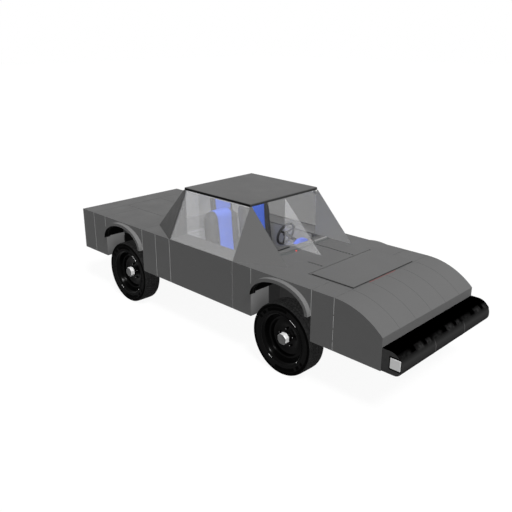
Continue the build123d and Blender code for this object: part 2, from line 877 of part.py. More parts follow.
with BuildPart() as instrument_panel:
    binnacle_middle_y = binnacle_inner_y + binnacle_width / 2
    with BuildSketch(Plane((dash_face_x, binnacle_middle_y, belt_z), x_dir=(0, 1, 0), z_dir=(1, 0, 0))):
        foot = binnacle_width / 2
        crest = foot - binnacle_taper
        Polygon(
            (-foot, 0), (foot, 0), (crest, binnacle_height), (-crest, binnacle_height), align=None
        )
    extrude(amount=binnacle_length)
save(instrument_panel, "instrument_panel")

column_dir = Vector(-cos(radians(steering_tilt)), 0, sin(radians(steering_tilt)))
steering_centre = Vector(steering_x, steering_y, steering_z)
column_run = (dash_face_x - steering_x) / cos(radians(steering_tilt))

with BuildPart() as steering_column:
    with BuildSketch(Plane(steering_centre - column_dir * column_run, z_dir=column_dir)) as tube:
        Circle(column_radius)
    extrude(tube.sketch, amount=column_run - column_collar)
    with BuildSketch(Plane(steering_centre - column_dir * column_collar, z_dir=column_dir)) as tip:
        Circle(column_tip_radius)
    extrude(tip.sketch, amount=column_tip)
    block(
        (dash_face_x, dash_front_x),
        (steering_y - column_mount, steering_y + column_mount),
        (belt_z - 2 * dash_height, belt_z),
        mode=Mode.SUBTRACT,
    )
save(steering_column, "steering_column")

with BuildPart() as steering_wheel:
    wheel_plane = Plane(steering_centre, x_dir=(0, 1, 0), z_dir=column_dir)
    with BuildSketch(Plane(steering_centre, x_dir=column_dir, z_dir=(0, 1, 0))) as section:
        with Locations((0, steering_rim_radius)):
            Circle(steering_rim_section)
    revolve(section.sketch, axis=Axis(steering_centre, column_dir))
    with BuildSketch(wheel_plane.offset(-column_collar + seat_gap)) as hub_plate:
        Circle(hub_plate_radius)
    extrude(hub_plate.sketch, amount=hub_plate_thickness)
    with BuildSketch(wheel_plane.offset(-spoke_thickness / 2)) as spokes:
        with PolarLocations(steering_rim_radius / 2, 3, start_angle=90):
            Rectangle(steering_rim_radius, spoke_width)
    extrude(spokes.sketch, amount=spoke_thickness)
    with BuildSketch(wheel_plane.offset(-column_collar)) as bore:
        Circle(column_tip_radius + running_gap)
    extrude(bore.sketch, amount=column_tip + cut_past, mode=Mode.SUBTRACT)
save(steering_wheel, "steering_wheel")

# ---------------------------------------------------------------- seats
seat_thickness = 180.0
seat_insert_width = 210.0
rear_seat_width = 340.0
rear_seat_thickness = 80.0
rear_insert_width = 230.0
seat_lean = 0.1                # run of the backrest for each unit of height
driver_seat_back = 60.0        # driver's seat behind the passenger's
cushion_length = 430.0
insert_proud = 14.0
front_seat_pitch = 378.0       # rear seat's face to the passenger seat's face
front_seat_top_z = roof_under_z - front_headroom
rear_seat_gap = 127.0          # parcel shelf to the rear seat's face, at its top
rear_seat_x = shelf_front_x + rear_seat_gap
front_seat_x = rear_seat_x + front_seat_pitch
rear_seat_top_z = roof_under_z - rear_headroom
rear_cushion_length = 100.0
pedestal_inset = 60.0
cushion_depth = 110.0
seat_crown = 90.0              # radius of the backrest's shoulders
insert_margin = 40.0


def backrest_plane(x_top, y, top_z):
    """Plane of a backrest's face: its origin at the cushion's top, its Y up the face."""
    run = seat_lean * (top_z - cushion_top_z)
    up = Vector(-run, 0, top_z - cushion_top_z).normalized()
    foot = Vector(x_top + run, y, cushion_top_z)
    return Plane(foot, x_dir=(0, 1, 0), z_dir=Vector(0, 1, 0).cross(up))


def backrest_height(top_z):
    """Length of a backrest's face, up its lean."""
    return (top_z - cushion_top_z) * sqrt(1 + seat_lean**2)


def slab(plane, width, y_range, crown, back, front):
    """A flat pad on a plane, with rounded upper corners, between two distances from the plane."""
    with BuildSketch(plane.offset(back)) as outline:
        with Locations((0, (y_range[0] + y_range[1]) / 2)):
            Rectangle(width, y_range[1] - y_range[0])
        fillet(vertices().group_by(Axis.Y)[-1], radius=crown)
    extrude(outline.sketch, amount=front - back)


front_pad = (seat_width, seat_thickness, seat_insert_width, cushion_length)
rear_pad = (rear_seat_width, rear_seat_thickness, rear_insert_width, rear_cushion_length)
seats = (
    (front_seat_x, -front_seat_y, front_seat_top_z, front_pad),
    (front_seat_x - driver_seat_back, front_seat_y, front_seat_top_z, front_pad),
    (rear_seat_x, 0.0, rear_seat_top_z, rear_pad),
)

with BuildPart() as seat_shells:
    for x_top, y, top_z, (width, thickness, _, length) in seats:
        plane = backrest_plane(x_top, y, top_z)
        foot_x = plane.origin.X
        slab(plane, width, (0, backrest_height(top_z)), seat_crown, -thickness, 0)
        block(
            (foot_x - thickness, foot_x + length),
            (y - width / 2, y + width / 2),
            (cushion_top_z - cushion_depth, cushion_top_z),
        )
        block(
            (foot_x - thickness + pedestal_inset, foot_x + length - pedestal_inset),
            (y - width / 2 + pedestal_inset, y + width / 2 - pedestal_inset),
            (floor_z, cushion_top_z - cushion_depth),
        )
save(seat_shells, "seat_shells")

with BuildPart() as seat_inserts:
    for x_top, y, top_z, (_, _, width, length) in seats:
        plane = backrest_plane(x_top, y, top_z)
        foot_x = plane.origin.X
        rise = (insert_margin, backrest_height(top_z) - insert_margin)
        slab(plane, width, rise, insert_margin, seat_gap, seat_gap + insert_proud)
        block(
            (foot_x + insert_margin, foot_x + length - insert_margin),
            (y - width / 2, y + width / 2),
            (cushion_top_z + seat_gap, cushion_top_z + seat_gap + insert_proud),
        )
save(seat_inserts, "seat_inserts")
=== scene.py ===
"""Looks of a boxy two-door vintage car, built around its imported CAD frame.

Metres, +X forward, +Y to the car's left, +Z up.  Each piece is a surface worked out on a grid and
rides on a body of the frame.  Each operator makes a group of like pieces; main() runs them all.
"""
from math import cos, pi, radians, sin

import bmesh
import bpy
import numpy as np
from bpy.props import FloatProperty, FloatVectorProperty, IntProperty, PointerProperty
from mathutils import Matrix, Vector
from mathutils.bvhtree import BVHTree


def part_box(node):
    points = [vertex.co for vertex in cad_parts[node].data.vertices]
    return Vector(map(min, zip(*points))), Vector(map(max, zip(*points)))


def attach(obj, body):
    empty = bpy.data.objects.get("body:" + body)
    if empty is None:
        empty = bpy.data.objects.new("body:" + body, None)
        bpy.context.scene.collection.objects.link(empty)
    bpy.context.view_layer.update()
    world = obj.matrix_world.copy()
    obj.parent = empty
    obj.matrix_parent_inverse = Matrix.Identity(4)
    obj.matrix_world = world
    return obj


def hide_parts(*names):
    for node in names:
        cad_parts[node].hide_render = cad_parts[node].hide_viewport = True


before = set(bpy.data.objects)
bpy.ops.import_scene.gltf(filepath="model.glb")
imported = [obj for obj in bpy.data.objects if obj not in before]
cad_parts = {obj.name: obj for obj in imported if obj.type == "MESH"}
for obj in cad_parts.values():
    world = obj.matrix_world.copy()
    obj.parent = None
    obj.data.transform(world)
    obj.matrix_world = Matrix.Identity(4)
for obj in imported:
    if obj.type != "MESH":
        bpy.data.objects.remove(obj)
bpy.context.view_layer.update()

bl_info = {
    "name": "Vintage Car Dresser",
    "version": (1, 0, 0),
    "blender": (4, 5, 0),
    "location": "View3D > Sidebar > Vintage Car",
    "description": "Finishes, tyres, seats, trim and studio for a boxy two-door vintage car",
    "category": "Add Mesh",
}

MM = 0.001
SIDES = (("left", 1), ("right", -1))


def low(node):
    """Lowest corner of a CAD node, as an array."""
    return np.array(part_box(node)[0])


def high(node):
    """Highest corner of a CAD node, as an array."""
    return np.array(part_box(node)[1])


# ================================================================ places read from the frame
BELT = high("cowl")[2]
ROOF_UNDER = low("roof")[2]
UNDERSIDE = low("door_right")[2]
TAIL_X = low("tail_panel")[0]
NOSE_X = low("nose_panel")[0]
FACE_X = high("nose_panel")[0]
BODY_Y = high("nose_panel")[1]
CABIN_Y = high("windscreen")[1]
SCREEN_FOOT_X = high("windscreen")[0]
DASH_FRONT = high("dashboard")[0]
GRID = 0.28                    # spacing of the body's seams
SPRING = low("wheel_flares")[2]  # line from which the wheel arches spring
FLARE_THICKNESS = 0.038        # wheel arch flares, across their curve


# ================================================================ surfaces
def grid_shell(points):
    """Quads over a grid of points (rows, columns, 3), whose last column joins the first."""
    rows, columns = points.shape[:2]
    row, column = np.meshgrid(np.arange(rows - 1), np.arange(columns), indexing="ij")
    here, after = row * columns + column, row * columns + (column + 1) % columns
    corners = (here, after, after + columns, here + columns)
    return points.reshape(-1, 3), np.stack(corners, axis=-1).reshape(-1, 4)


def axes_of(direction):
    """Unit vector along a direction, and two more square to it and to each other."""
    along = np.array(direction, float) / np.linalg.norm(direction)
    helper = (0.0, 0.0, 1.0) if abs(along[2]) < 0.9 else (1.0, 0.0, 0.0)
    side = np.cross(helper, along)
    side /= np.linalg.norm(side)
    return along, side, np.cross(along, side)


def turned(profile, centre, axis=(0, 1, 0), steps=96, turn=0.0):
    """Surface of revolution: each (radius, distance) of the profile goes round the axis.

    Point = centre + distance * axis + radius * (cos a * side + sin a * rise).
    """
    along, side, rise = axes_of(axis)
    angle = turn + np.linspace(0, 2 * pi, steps, endpoint=False)[None, :, None]
    radius, distance = np.asarray(profile, float).T[:, :, None, None]
    spoke = np.cos(angle) * side + np.sin(angle) * rise
    return grid_shell(np.asarray(centre, float) + distance * along + radius * spoke)


def rounded_outline(width, height, radii, steps=6):
    """Closed outline of a rectangle round the origin, from its lower left corner, anticlockwise.

    Each corner is a quarter circle about its own centre.  radii is one radius, or one for each corner.
    """
    quarter = np.linspace(0, pi / 2, steps + 1)
    parts = []
    for index, radius in enumerate(np.broadcast_to(radii, 4)):
        angle = pi + index * pi / 2 + quarter
        sign_x, sign_y = ((-1, -1), (1, -1), (1, 1), (-1, 1))[index]
        centre = (sign_x * (width / 2 - radius), sign_y * (height / 2 - radius))
        parts.append(centre + radius * np.stack([np.cos(angle), np.sin(angle)], axis=1))
    return np.concatenate(parts)


def lofted(rings):
    """A skin over like rings of points, with both ends closed on their middles."""
    rings = np.asarray(rings)
    ends = [np.broadcast_to(ring.mean(0), ring.shape)[None] for ring in (rings[0], rings[-1])]
    return grid_shell(np.concatenate([ends[0], rings, ends[1]]))


def swept(outline, path, up=(0, 0, 1)):
    """An outline carried along a path: point = path + x * side + y * rise, square to the path."""
    path = np.asarray(path, float)
    along = np.gradient(path, axis=0)
    side = np.cross(np.broadcast_to(np.asarray(up, float), along.shape), along)
    side /= np.linalg.norm(side, axis=1, keepdims=True)
    rise = np.cross(along, side)
    rise /= np.linalg.norm(rise, axis=1, keepdims=True)
    across, up = outline[None, :, :1], outline[None, :, 1:]
    return lofted(path[:, None] + across * side[:, None] + up * rise[:, None])


def rounded_block(lower, upper, radius, steps=2):
    """A box with rounded edges: corner centres pushed out by a unit sphere's normal times the radius."""
    lower, upper = np.minimum(lower, upper), np.maximum(lower, upper)
    centre, half = (lower + upper) / 2, (upper - lower) / 2
    radius = min(radius, half.min() * 0.98)
    quarter = np.linspace(0, pi / 2, steps + 1)
    around = np.concatenate([quarter + turn * pi / 2 for turn in range(4)])
    sign_x = np.repeat([1, -1, -1, 1], steps + 1)
    sign_y = np.repeat([1, 1, -1, -1], steps + 1)
    climb = np.concatenate([quarter - pi / 2, quarter])
    sign_z = np.repeat([-1, 1], steps + 1)
    normal = np.stack([
        np.outer(np.cos(climb), np.cos(around)), np.outer(np.cos(climb), np.sin(around)),
        np.outer(np.sin(climb), np.ones_like(around)),
    ], axis=-1)
    corner = np.stack([
        np.broadcast_to(sign_x, normal.shape[:2]), np.broadcast_to(sign_y, normal.shape[:2]),
        np.broadcast_to(sign_z[:, None], normal.shape[:2]),
    ], axis=-1)
    return lofted(centre + corner * (half - radius) + radius * normal)


def block_pair(x, y, z, radius, steps=2):
    """A rounded block on each side of the car: x and z are its ends, y its ends out from the middle."""
    return [
        rounded_block((x[0], side * y[0], z[0]), (x[1], side * y[1], z[1]), radius, steps)
        for _, side in SIDES
    ]


def spun(shell, centre, axis, angle):
    """A shell turned about an axis through a point, by Rodrigues' formula."""
    points, quads = shell
    along = axes_of(axis)[0]
    arm = points - centre
    level = arm * cos(angle) + np.cross(along, arm) * sin(angle)
    return centre + level + np.outer(arm @ along, along) * (1 - cos(angle)), quads


def mirrored(shell):
    """A shell's twin on the other side of the car."""
    points, quads = shell
    return points * (1, -1, 1), quads


def new_piece(name, shells, material, body, crease=30.0, replaces=(), second=None):
    """Join shells into one closed, smoothly shaded mesh object that rides on a body.

    second marks the faces, by their centres, that take the second of two materials.
    """
    starts = np.cumsum([0] + [len(points) for points, _ in shells])
    points = np.concatenate([points for points, _ in shells])
    quads = np.concatenate([quads + start for (_, quads), start in zip(shells, starts)])
    mesh = bpy.data.meshes.new(name)
    mesh.vertices.add(len(points))
    mesh.vertices.foreach_set("co", points.astype(np.float32).ravel())
    mesh.loops.add(quads.size)
    mesh.loops.foreach_set("vertex_index", quads.astype(np.int32).ravel())
    mesh.polygons.add(len(quads))
    mesh.polygons.foreach_set("loop_start", np.arange(0, quads.size, 4, dtype=np.int32))
    mesh.update(calc_edges=True)
    clean(mesh)
    mesh.shade_smooth()
    mesh.set_sharp_from_angle(angle=radians(crease))
    piece = bpy.data.objects.new(name, mesh)
    bpy.context.scene.collection.objects.link(piece)
    for held in material if isinstance(material, (list, tuple)) else [material]:
        mesh.materials.append(held)
    if second:
        centres = np.empty(len(mesh.polygons) * 3, dtype=np.float32)
        mesh.polygons.foreach_get("center", centres)
        mesh.polygons.foreach_set("material_index", second(centres.reshape(-1, 3)).astype(np.int32))
    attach(piece, body)
    if replaces:
        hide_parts(*replaces)
    return piece


def clean(mesh):
    """Merge doubled points, so that poles and seams close, and turn all faces outwards."""
    work = bmesh.new()
    work.from_mesh(mesh)
    bmesh.ops.remove_doubles(work, verts=work.verts, dist=1e-6)
    bmesh.ops.recalc_face_normals(work, faces=work.faces)
    work.to_mesh(mesh)
    work.free()


# ================================================================ colours and shader nodes
def linear(hex_colour):
    """Linear RGBA of an sRGB hex value, by the sRGB transfer curve."""
    channels = np.array([int(hex_colour[i:i + 2], 16) for i in (1, 3, 5)]) / 255.0
    bright = ((channels + 0.055) / 1.055) ** 2.4
    return (*(float(c) for c in np.where(channels <= 0.04045, channels / 12.92, bright)), 1.0)


def node(tree, kind, inputs=(), **settings):
    """Add a shader node with its settings, feed its inputs and give its outputs.

    The inputs are values or other nodes' outputs, by name or number, or in the node's own order.
    """
    made = tree.nodes.new(f"ShaderNode{kind}")
    for name, value in settings.items():
        setattr(made, name, value)
    for name, value in (inputs if isinstance(inputs, dict) else dict(enumerate(inputs))).items():
        if isinstance(value, bpy.types.NodeSocket):
            tree.links.new(value, made.inputs[name])
        else:
            made.inputs[name].default_value = value
    return made.outputs


def new_material(name):
    """An empty node material, its tree and its Object coordinates."""
    material = bpy.data.materials.new(name)
    material.use_nodes = True
    tree = material.node_tree
    tree.nodes.clear()
    return material, tree, node(tree, "TexCoord")["Object"]


def uneven(tree, place, size_mm, least, most, detail=2.0, start=0.3, end=0.7):
    """A value that wanders between two bounds, in patches about a size in millimetres across."""
    lumps = {"Vector": place, "Scale": 1 / (size_mm * MM), "Detail": detail}
    return node(tree, "MapRange", (node(tree, "TexNoise", lumps)["Fac"], start, end, least, most))["Result"]


def blended(tree, value, start, end, first, second):
    """The first colour where a value lies before the start, the second where it is past the end."""
    share = node(tree, "MapRange", (value, start, end))["Result"]
    return node(tree, "Mix", {0: share, 6: first, 7: second}, data_type="RGBA")[2]


def facing(tree):
    """The way that a face looks, as the X, Y and Z of its normal."""
    return node(tree, "SeparateXYZ", (node(tree, "NewGeometry")["Normal"],))


def surfaced(material, place, colour, roughness, specular, bump_mm, grain_mm, metallic=0.0):
    """Give a material its colour and sheen over a relief, with depth and grain in millimetres."""
    tree = material.node_tree
    grain = node(tree, "TexNoise", {"Vector": place, "Scale": 1 / (grain_mm * MM), "Detail": 2.0})["Fac"]
    relief = node(tree, "Bump", {"Height": grain, "Distance": bump_mm * MM, "Strength": 1.0})["Normal"]
    surface = node(tree, "BsdfPrincipled", {
        "Base Color": colour, "Roughness": roughness, "Specular IOR Level": specular, "Metallic": metallic,
        "Normal": relief,
    })[0]
    node(tree, "OutputMaterial", {"Surface": surface})
    return material


def coated(name, colour, spread=0.03, patch_mm=250, roughness=0.6, specular=0.1, bump_mm=0.05, grain_mm=3.0,
           metallic=0.0, dust=None):
    """A coated, moulded or cast surface: broad patches of tone, fine grain in the relief.

    spread is the share by which the patches are lighter or darker; dust is a second colour in them.
    """
    material, tree, place = new_material(name)
    patches = uneven(tree, place, patch_mm, 0.0, 1.0, 4.0)
    darker = tuple(c * (1 - spread) for c in colour[:3]) + (1.0,)
    lighter = dust or tuple(min(1.0, c * (1 + spread)) for c in colour[:3]) + (1.0,)
    shade = blended(tree, patches, 0.0, 1.0, darker, lighter)
    least, most = roughness * 0.88, min(1.0, roughness * 1.12)
    sheen = node(tree, "MapRange", (patches, 0.0, 1.0, least, most))["Result"]
    return surfaced(
        material, place, shade, sheen, specular=specular, bump_mm=bump_mm, grain_mm=grain_mm,
        metallic=metallic,
    )


def dress(material, *names):
    """Give CAD nodes a finish through their objects' material slots."""
    for name in names:
        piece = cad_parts[name]
        if not piece.material_slots:
            piece.data.materials.append(material)
        for held in piece.material_slots:
            held.material = material


def direct_view(tree):
    """1 for rays that show the studio to the eye, in a reflection or through glass, 0 for light."""
    path = node(tree, "LightPath")
    mirror = node(tree, "Math", (path["Is Camera Ray"], path["Is Glossy Ray"]), operation="MAXIMUM")[0]
    return node(tree, "Math", (mirror, path["Is Transmission Ray"]), operation="MAXIMUM")[0]


# ================================================================ settings
class StudioSettings(bpy.types.PropertyGroup):
    """The floor, the lamps and the camera."""

    fill_share: FloatProperty(
        name="Open fill", description="Even light that reaches into every recess", default=0.13,
        min=0.0, max=1.0, subtype="FACTOR",
    )
    shadow_share: FloatProperty(
        name="Shadow share", description="Share of the key light that casts shadows", default=0.2,
        min=0.0, max=1.0, subtype="FACTOR",
    )
    fill: FloatProperty(
        name="Fill", description="Even light from all round", default=0.07,
        min=0.0, max=1.0, subtype="FACTOR",
    )
    floor_size: FloatProperty(
        name="Floor size", description="Side of the square floor", default=120.0,
        subtype="DISTANCE", unit="LENGTH",
    )
    focal_length: FloatProperty(
        name="Focal length", description="Of the camera, in millimetres", default=44.63,
        subtype="DISTANCE_CAMERA",
    )


class PaintSettings(bpy.types.PropertyGroup):
    """Colours of the body and its trim."""

    body: FloatVectorProperty(
        name="Body", description="Satin enamel of the panels", default=linear("#686868"),
        size=4, subtype="COLOR",
    )
    # the flares' lighter colour is painted light, laid only on their faces that look away from the wheels
    flare: FloatVectorProperty(
        name="Flares", description="Enamel of the wheel arch flares", default=linear("#757575"),
        size=4, subtype="COLOR",
    )
    seam: FloatVectorProperty(
        name="Seams", description="Sealant in the panel joints", default=linear("#B4B4B4"),
        size=4, subtype="COLOR",
    )
    deck_seam: FloatVectorProperty(
        name="Deck seams", description="Painted sealant across the decks", default=linear("#5F5F5F"),
        size=4, subtype="COLOR",
    )
    seat: FloatVectorProperty(
        name="Seat vinyl", description="Bolsters and backs", default=linear("#414141"),
        size=4, subtype="COLOR",
    )
    insert: FloatVectorProperty(
        name="Seat cloth", description="Blue centre bands", default=linear("#5C78D9"),
        size=4, subtype="COLOR",
    )


class TyreSettings(bpy.types.PropertyGroup):
    """Tread and sidewall of the tyres."""

    pitches: IntProperty(
        name="Tread pitches", description="Blocks round one rib", default=66, min=12, max=90,
    )
    groove: FloatProperty(
        name="Groove depth", description="Depth of the tread", default=0.010,
        subtype="DISTANCE", unit="LENGTH",
    )
    skew: FloatProperty(name="Skew", description="Slant of the cross grooves, in pitches", default=0.45)


class SeatSettings(bpy.types.PropertyGroup):
    """Padding of the seats."""

    voxel: FloatProperty(
        name="Voxel", description="Size of the simulated mesh", default=0.012,
        subtype="DISTANCE", unit="LENGTH",
    )
    swell: FloatProperty(
        name="Swell", description="Most that a pad bulges", default=0.022,
        subtype="DISTANCE", unit="LENGTH",
    )
    channel: FloatProperty(
        name="Channel", description="Depth of the sewn channels", default=0.005,
        subtype="DISTANCE", unit="LENGTH",
    )


# ================================================================ studio
def paper_floor():
    """Matt white paper: a grey bounce for the light, white with a soft shadow for the eye."""
    material, tree, _ = new_material("paper_floor")
    bounce = node(tree, "BsdfDiffuse", {"Color": (0.075, 0.075, 0.075, 1)})[0]
    paper = node(tree, "BsdfDiffuse", {"Color": (0.35, 0.35, 0.35, 1)})[0]
    glow = node(tree, "Emission", {"Color": (1, 1, 1, 1), "Strength": 0.66})[0]
    shown = node(tree, "AddShader", (paper, glow))[0]
    seen = node(tree, "MixShader", (direct_view(tree), bounce, shown))[0]
    node(tree, "OutputMaterial", {"Surface": seen})
    return material


def add_sun(name, direction, strength, shadow=False):
    """A wide sun lamp: a white matt face square to it shows the strength as its radiance."""
    lamp = bpy.data.lights.new(name, "SUN")
    lamp.energy = pi * strength
    lamp.angle = radians(12)
    lamp.use_shadow = shadow
    holder = bpy.data.objects.new(name, lamp)
    bpy.context.scene.collection.objects.link(holder)
    holder.rotation_mode = "QUATERNION"
    holder.rotation_quaternion = Vector(direction).to_track_quat("Z", "Y")
    return holder


class VINTAGE_CAR_OT_studio(bpy.types.Operator):
    """Add the floor, the lamps, the world and the camera"""

    bl_idname = "vintage_car.studio"
    bl_label = "Studio"

    def execute(self, context):
        settings = context.scene.vintage_car_studio
        half = settings.floor_size / 2
        mesh = bpy.data.meshes.new("studio_floor")
        corners = [(-half, -half, 0), (half, -half, 0), (half, half, 0), (-half, half, 0)]
        mesh.from_pydata(corners, [], [(0, 1, 2, 3)])
        floor = bpy.data.objects.new("studio_floor", mesh)
        context.scene.collection.objects.link(floor)
        mesh.materials.append(paper_floor())

        from_sun = (0.53, -0.276, 0.80)
        add_sun("key_shadowed", from_sun, settings.shadow_share, shadow=True)
        add_sun("key_even", from_sun, 1 - settings.shadow_share)
        for axis, name in enumerate("xyz"):
            for side in (-1, 1):
                direction = [0.0, 0.0, 0.0]
                direction[axis] = side
                fill = add_sun(f"fill_{name}_{side}", direction, settings.fill_share)
                fill.visible_glossy = False

        world = bpy.data.worlds.new("studio")
        context.scene.world = world
        world.use_nodes = True
        tree = world.node_tree
        tree.nodes.clear()
        strength = node(tree, "MapRange", (direct_view(tree), 0.0, 1.0, settings.fill, 1.0))["Result"]
        light = node(tree, "Background", {"Color": (1, 1, 1, 1), "Strength": strength})[0]
        node(tree, "OutputWorld", {"Surface": light})

        eye = bpy.data.cameras.new("studio_camera")
        eye.lens = settings.focal_length
        eye.sensor_width = 36.0
        camera = bpy.data.objects.new("studio_camera", eye)
        context.scene.collection.objects.link(camera)
        camera.location = (5.201, -5.267, 3.500)
        camera.rotation_euler = (radians(70.318), 0.0, radians(44.782))
        context.scene.camera = camera
        context.scene.view_settings.view_transform = "Standard"
        return {"FINISHED"}


# ================================================================ body
def pillar_finish(name, paint):
    """Satin enamel outside; pale vinyl lining on the faces that look into the cabin.

    A face looks outwards where N.y * y is positive.
    """
    material, tree, place = new_material(name)
    across = node(tree, "SeparateXYZ", (place,))["Y"]
    outwards = node(tree, "Math", (facing(tree)["Y"], across), operation="MULTIPLY")[0]
    lining = blended(
        tree, uneven(tree, place, 200, 0.3, 0.7), 0.0, 1.0, linear("#A0A0A0"), linear("#A6A6A6"),
    )
    colour = blended(tree, outwards, -0.06, -0.05, lining, paint)
    return surfaced(
        material, place, colour, uneven(tree, place, 200, 0.55, 0.65), specular=0.06, bump_mm=0.05,
        grain_mm=4.0,
    )


def flare_finish(body, flare):
    """Flares in painted light and shade by the way each face looks: a lighter tone on the crown, which
    looks away from the wheel, the body's tone on the rim, black on the faces that look into the arch.

    A face looks away from its wheel where N.x * (x - axle) + N.z * (z - spring) is positive.
    """
    material, tree, place = new_material("flare_enamel")
    at, normal = node(tree, "SeparateXYZ", (place,)), facing(tree)
    (front, _), (rear, _) = wells()
    axle = node(tree, "MapRange", (at["X"], -0.01, 0.01, rear, front))["Result"]
    parts = []
    for axis, middle in (("X", axle), ("Z", SPRING)):
        arm = node(tree, "Math", (at[axis], middle), operation="SUBTRACT")[0]
        parts.append(node(tree, "Math", (normal[axis], arm), operation="MULTIPLY")[0])
    outwards = node(tree, "Math", parts, operation="ADD")[0]
    # painted light: the lighter crown; painted shade: black on the faces that look towards the wheel
    crown = blended(tree, outwards, 0.02, 0.05, body, flare)
    colour = blended(tree, outwards, -0.05, -0.02, linear("#040404"), crown)
    return surfaced(
        material, place, colour, uneven(tree, place, 120, 0.55, 0.65), specular=0.06, bump_mm=0.06,
        grain_mm=4.0,
    )


def undercoat(name, wall, end):
    """Bitumen, brushed: lumpy and dull, with painted shade by the way a face looks: a grey on its sides, a
    darker grey on its ends, black on the ends above the spring line and on faces that look down.
    """
    material, tree, place = new_material(name)
    shade_black, normal = linear("#040404"), facing(tree)
    height = node(tree, "SeparateXYZ", (place,))["Z"]
    sideways = node(tree, "Math", (normal["Y"],), operation="ABSOLUTE")[0]
    # black is painted shade: on the ends above the spring line and on faces that look down
    end = blended(tree, height, SPRING - 0.002, SPRING + 0.002, end, shade_black)
    upright = blended(tree, sideways, 0.4, 0.6, end, wall)
    colour = blended(tree, normal["Z"], -0.3, -0.1, shade_black, upright)
    return surfaced(material, place, colour, 0.95, specular=0.02, bump_mm=0.8, grain_mm=9.0)


def deck_finish(body, deck):
    """Satin enamel, a shade darker where it lies flat: painted shade on the faces that look up."""
    material, tree, place = new_material("deck_enamel")
    colour = blended(tree, facing(tree)["Z"], 0.4, 0.8, body, deck)
    return surfaced(
        material, place, colour, uneven(tree, place, 260, 0.53, 0.67, 4.0), specular=0.06, bump_mm=0.06,
        grain_mm=4.0,
    )


def satin_enamel(name, colour):
    """Satin enamel, sprayed: even, hardly glossy, with a trace of orange peel."""
    return coated(name, colour, spread=0.02, patch_mm=260, specular=0.06, bump_mm=0.06, grain_mm=4.0)


def sealant(name, colour, spread):
    """Sealant brushed into a joint: matt, with the marks of the brush."""
    return coated(name, colour, spread=spread, patch_mm=20, roughness=0.8, specular=0.02, bump_mm=0.1)


def rubber(name, hex_colour):
    """EPDM rubber trim, extruded: matt, nearly black, with a fine dusty grain."""
    return coated(
        name, linear(hex_colour), spread=0.2, patch_mm=30, roughness=0.8, specular=0.05, bump_mm=0.1,
        grain_mm=2.0,
    )


class VINTAGE_CAR_OT_body(bpy.types.Operator):
    """Finish the body panels and add their seams and trim"""

    bl_idname = "vintage_car.body"
    bl_label = "Body panels"

    def execute(self, context):
        paints = context.scene.vintage_car_paint
        dress(
            satin_enamel("grey_satin_enamel", paints.body), "fender_left", "fender_right", "door_left",
            "door_right", "hood", "cowl", "nose_panel", "tail_panel",
        )
        # 626262 is painted shade on the decks' faces that look up
        decks = deck_finish(paints.body, linear("#626262"))
        dress(decks, "quarter_left", "quarter_right", "rear_deck", "trunk_lid")
        # the same enamel, darker on the roof as painted shade
        dress(satin_enamel("roof_enamel_painted_shade", linear("#626262")), "roof")
        dress(pillar_finish("lined_screen_pillars", paints.body), "a_pillars")
        dress(pillar_finish("lined_rear_pillars", linear("#525252")), "c_pillars")
        dress(flare_finish(paints.body, paints.flare), "wheel_flares")
        # wheel wells: bitumen with painted shade by the way each face looks
        dress(undercoat("bitumen_with_painted_shade", linear("#464646"), linear("#303030")), "wheel_housings")
        # chassis paint over rolled steel: black, semi-matt, dusty
        chassis = coated(
            "chassis_paint", linear("#1E1E1E"), spread=0.3, patch_mm=80, roughness=0.7, specular=0.08,
            bump_mm=0.2, grain_mm=5.0, dust=linear("#2E2C2A"),
        )
        dress(
            chassis, "frame_rails", "crossmembers", "tow_eyes", "front_axle", "rear_axle", "leaf_springs",
            "knuckle_left", "knuckle_right", "floor_tub",
        )
        # grey cast iron, sand cast and oily
        dress(coated(
            "cast_iron", linear("#565656"), spread=0.25, patch_mm=40, roughness=0.65, specular=0.3,
            bump_mm=0.5, grain_mm=2.5,
        ), "engine_block")

        # splash boards screwed to the ends of the wells, primed paler than the enamel: painted light that
        # makes up for the shade in the wells
        painted_light_primer = coated(
            "pale_primer_painted_light", linear("#6F6F6F"), patch_mm=120, roughness=0.7, specular=0.04, bump_mm=0.08,
        )
        new_piece("splash_boards", splash_boards(), painted_light_primer, "chassis", crease=50)

        edging = rubber("arch_edging_rubber", "#040404")
        new_piece("arch_edging", arch_linings(), edging, "chassis", crease=50)

        # sheet steel brushed with bitumen between the rear wells and the trunk: nearly black
        middle, half = wells()[1]
        walls = block_pair(
            (middle - half + 0.009, middle + half - 0.009), (CABIN_Y - 0.012, CABIN_Y - 0.004),
            (UNDERSIDE + 0.031, SPRING + 0.004), 0.001, 1,
        )
        bitumen = rubber("brushed_bitumen", "#060606")
        new_piece("rear_well_walls", walls, bitumen, "chassis", crease=50)

        # pale up the sides, painted over on the decks
        pale = sealant("light_sealant", paints.seam, 0.1)
        new_piece("side_seams", upright_seams(), pale, "chassis", crease=50)
        painted = sealant("painted_sealant", paints.deck_seam, 0.05)
        new_piece("deck_seams", deck_seams(), painted, "chassis", crease=50)
        return {"FINISHED"}


def seam_x(number):
    """Station of a numbered body seam; the seams lie on one even grid from the tail."""
    return TAIL_X + number * GRID


def wells():
    """Middle of each pair of wheel wells along the car, with half their length."""
    well_low, well_high = low("wheel_housings"), high("wheel_housings")
    front = (low("tyre_front_right")[0] + high("tyre_front_right")[0]) / 2
    rear = (low("tyre_rear_right")[0] + high("tyre_rear_right")[0]) / 2
    return (front, well_high[0] - front), (rear, rear - well_low[0])


def splash_boards():
    """Thin boards on both ends of each wheel well, below its vault."""
    boards = []
    for middle, half in wells():
        for way in (-1, 1):
            boards += block_pair(
                (middle + way * half, middle + way * (half - 0.002)), (CABIN_Y + 0.004, BODY_Y - 0.002),
                (UNDERSIDE + 0.002, SPRING), 0.0008, 1,
            )
    return boards


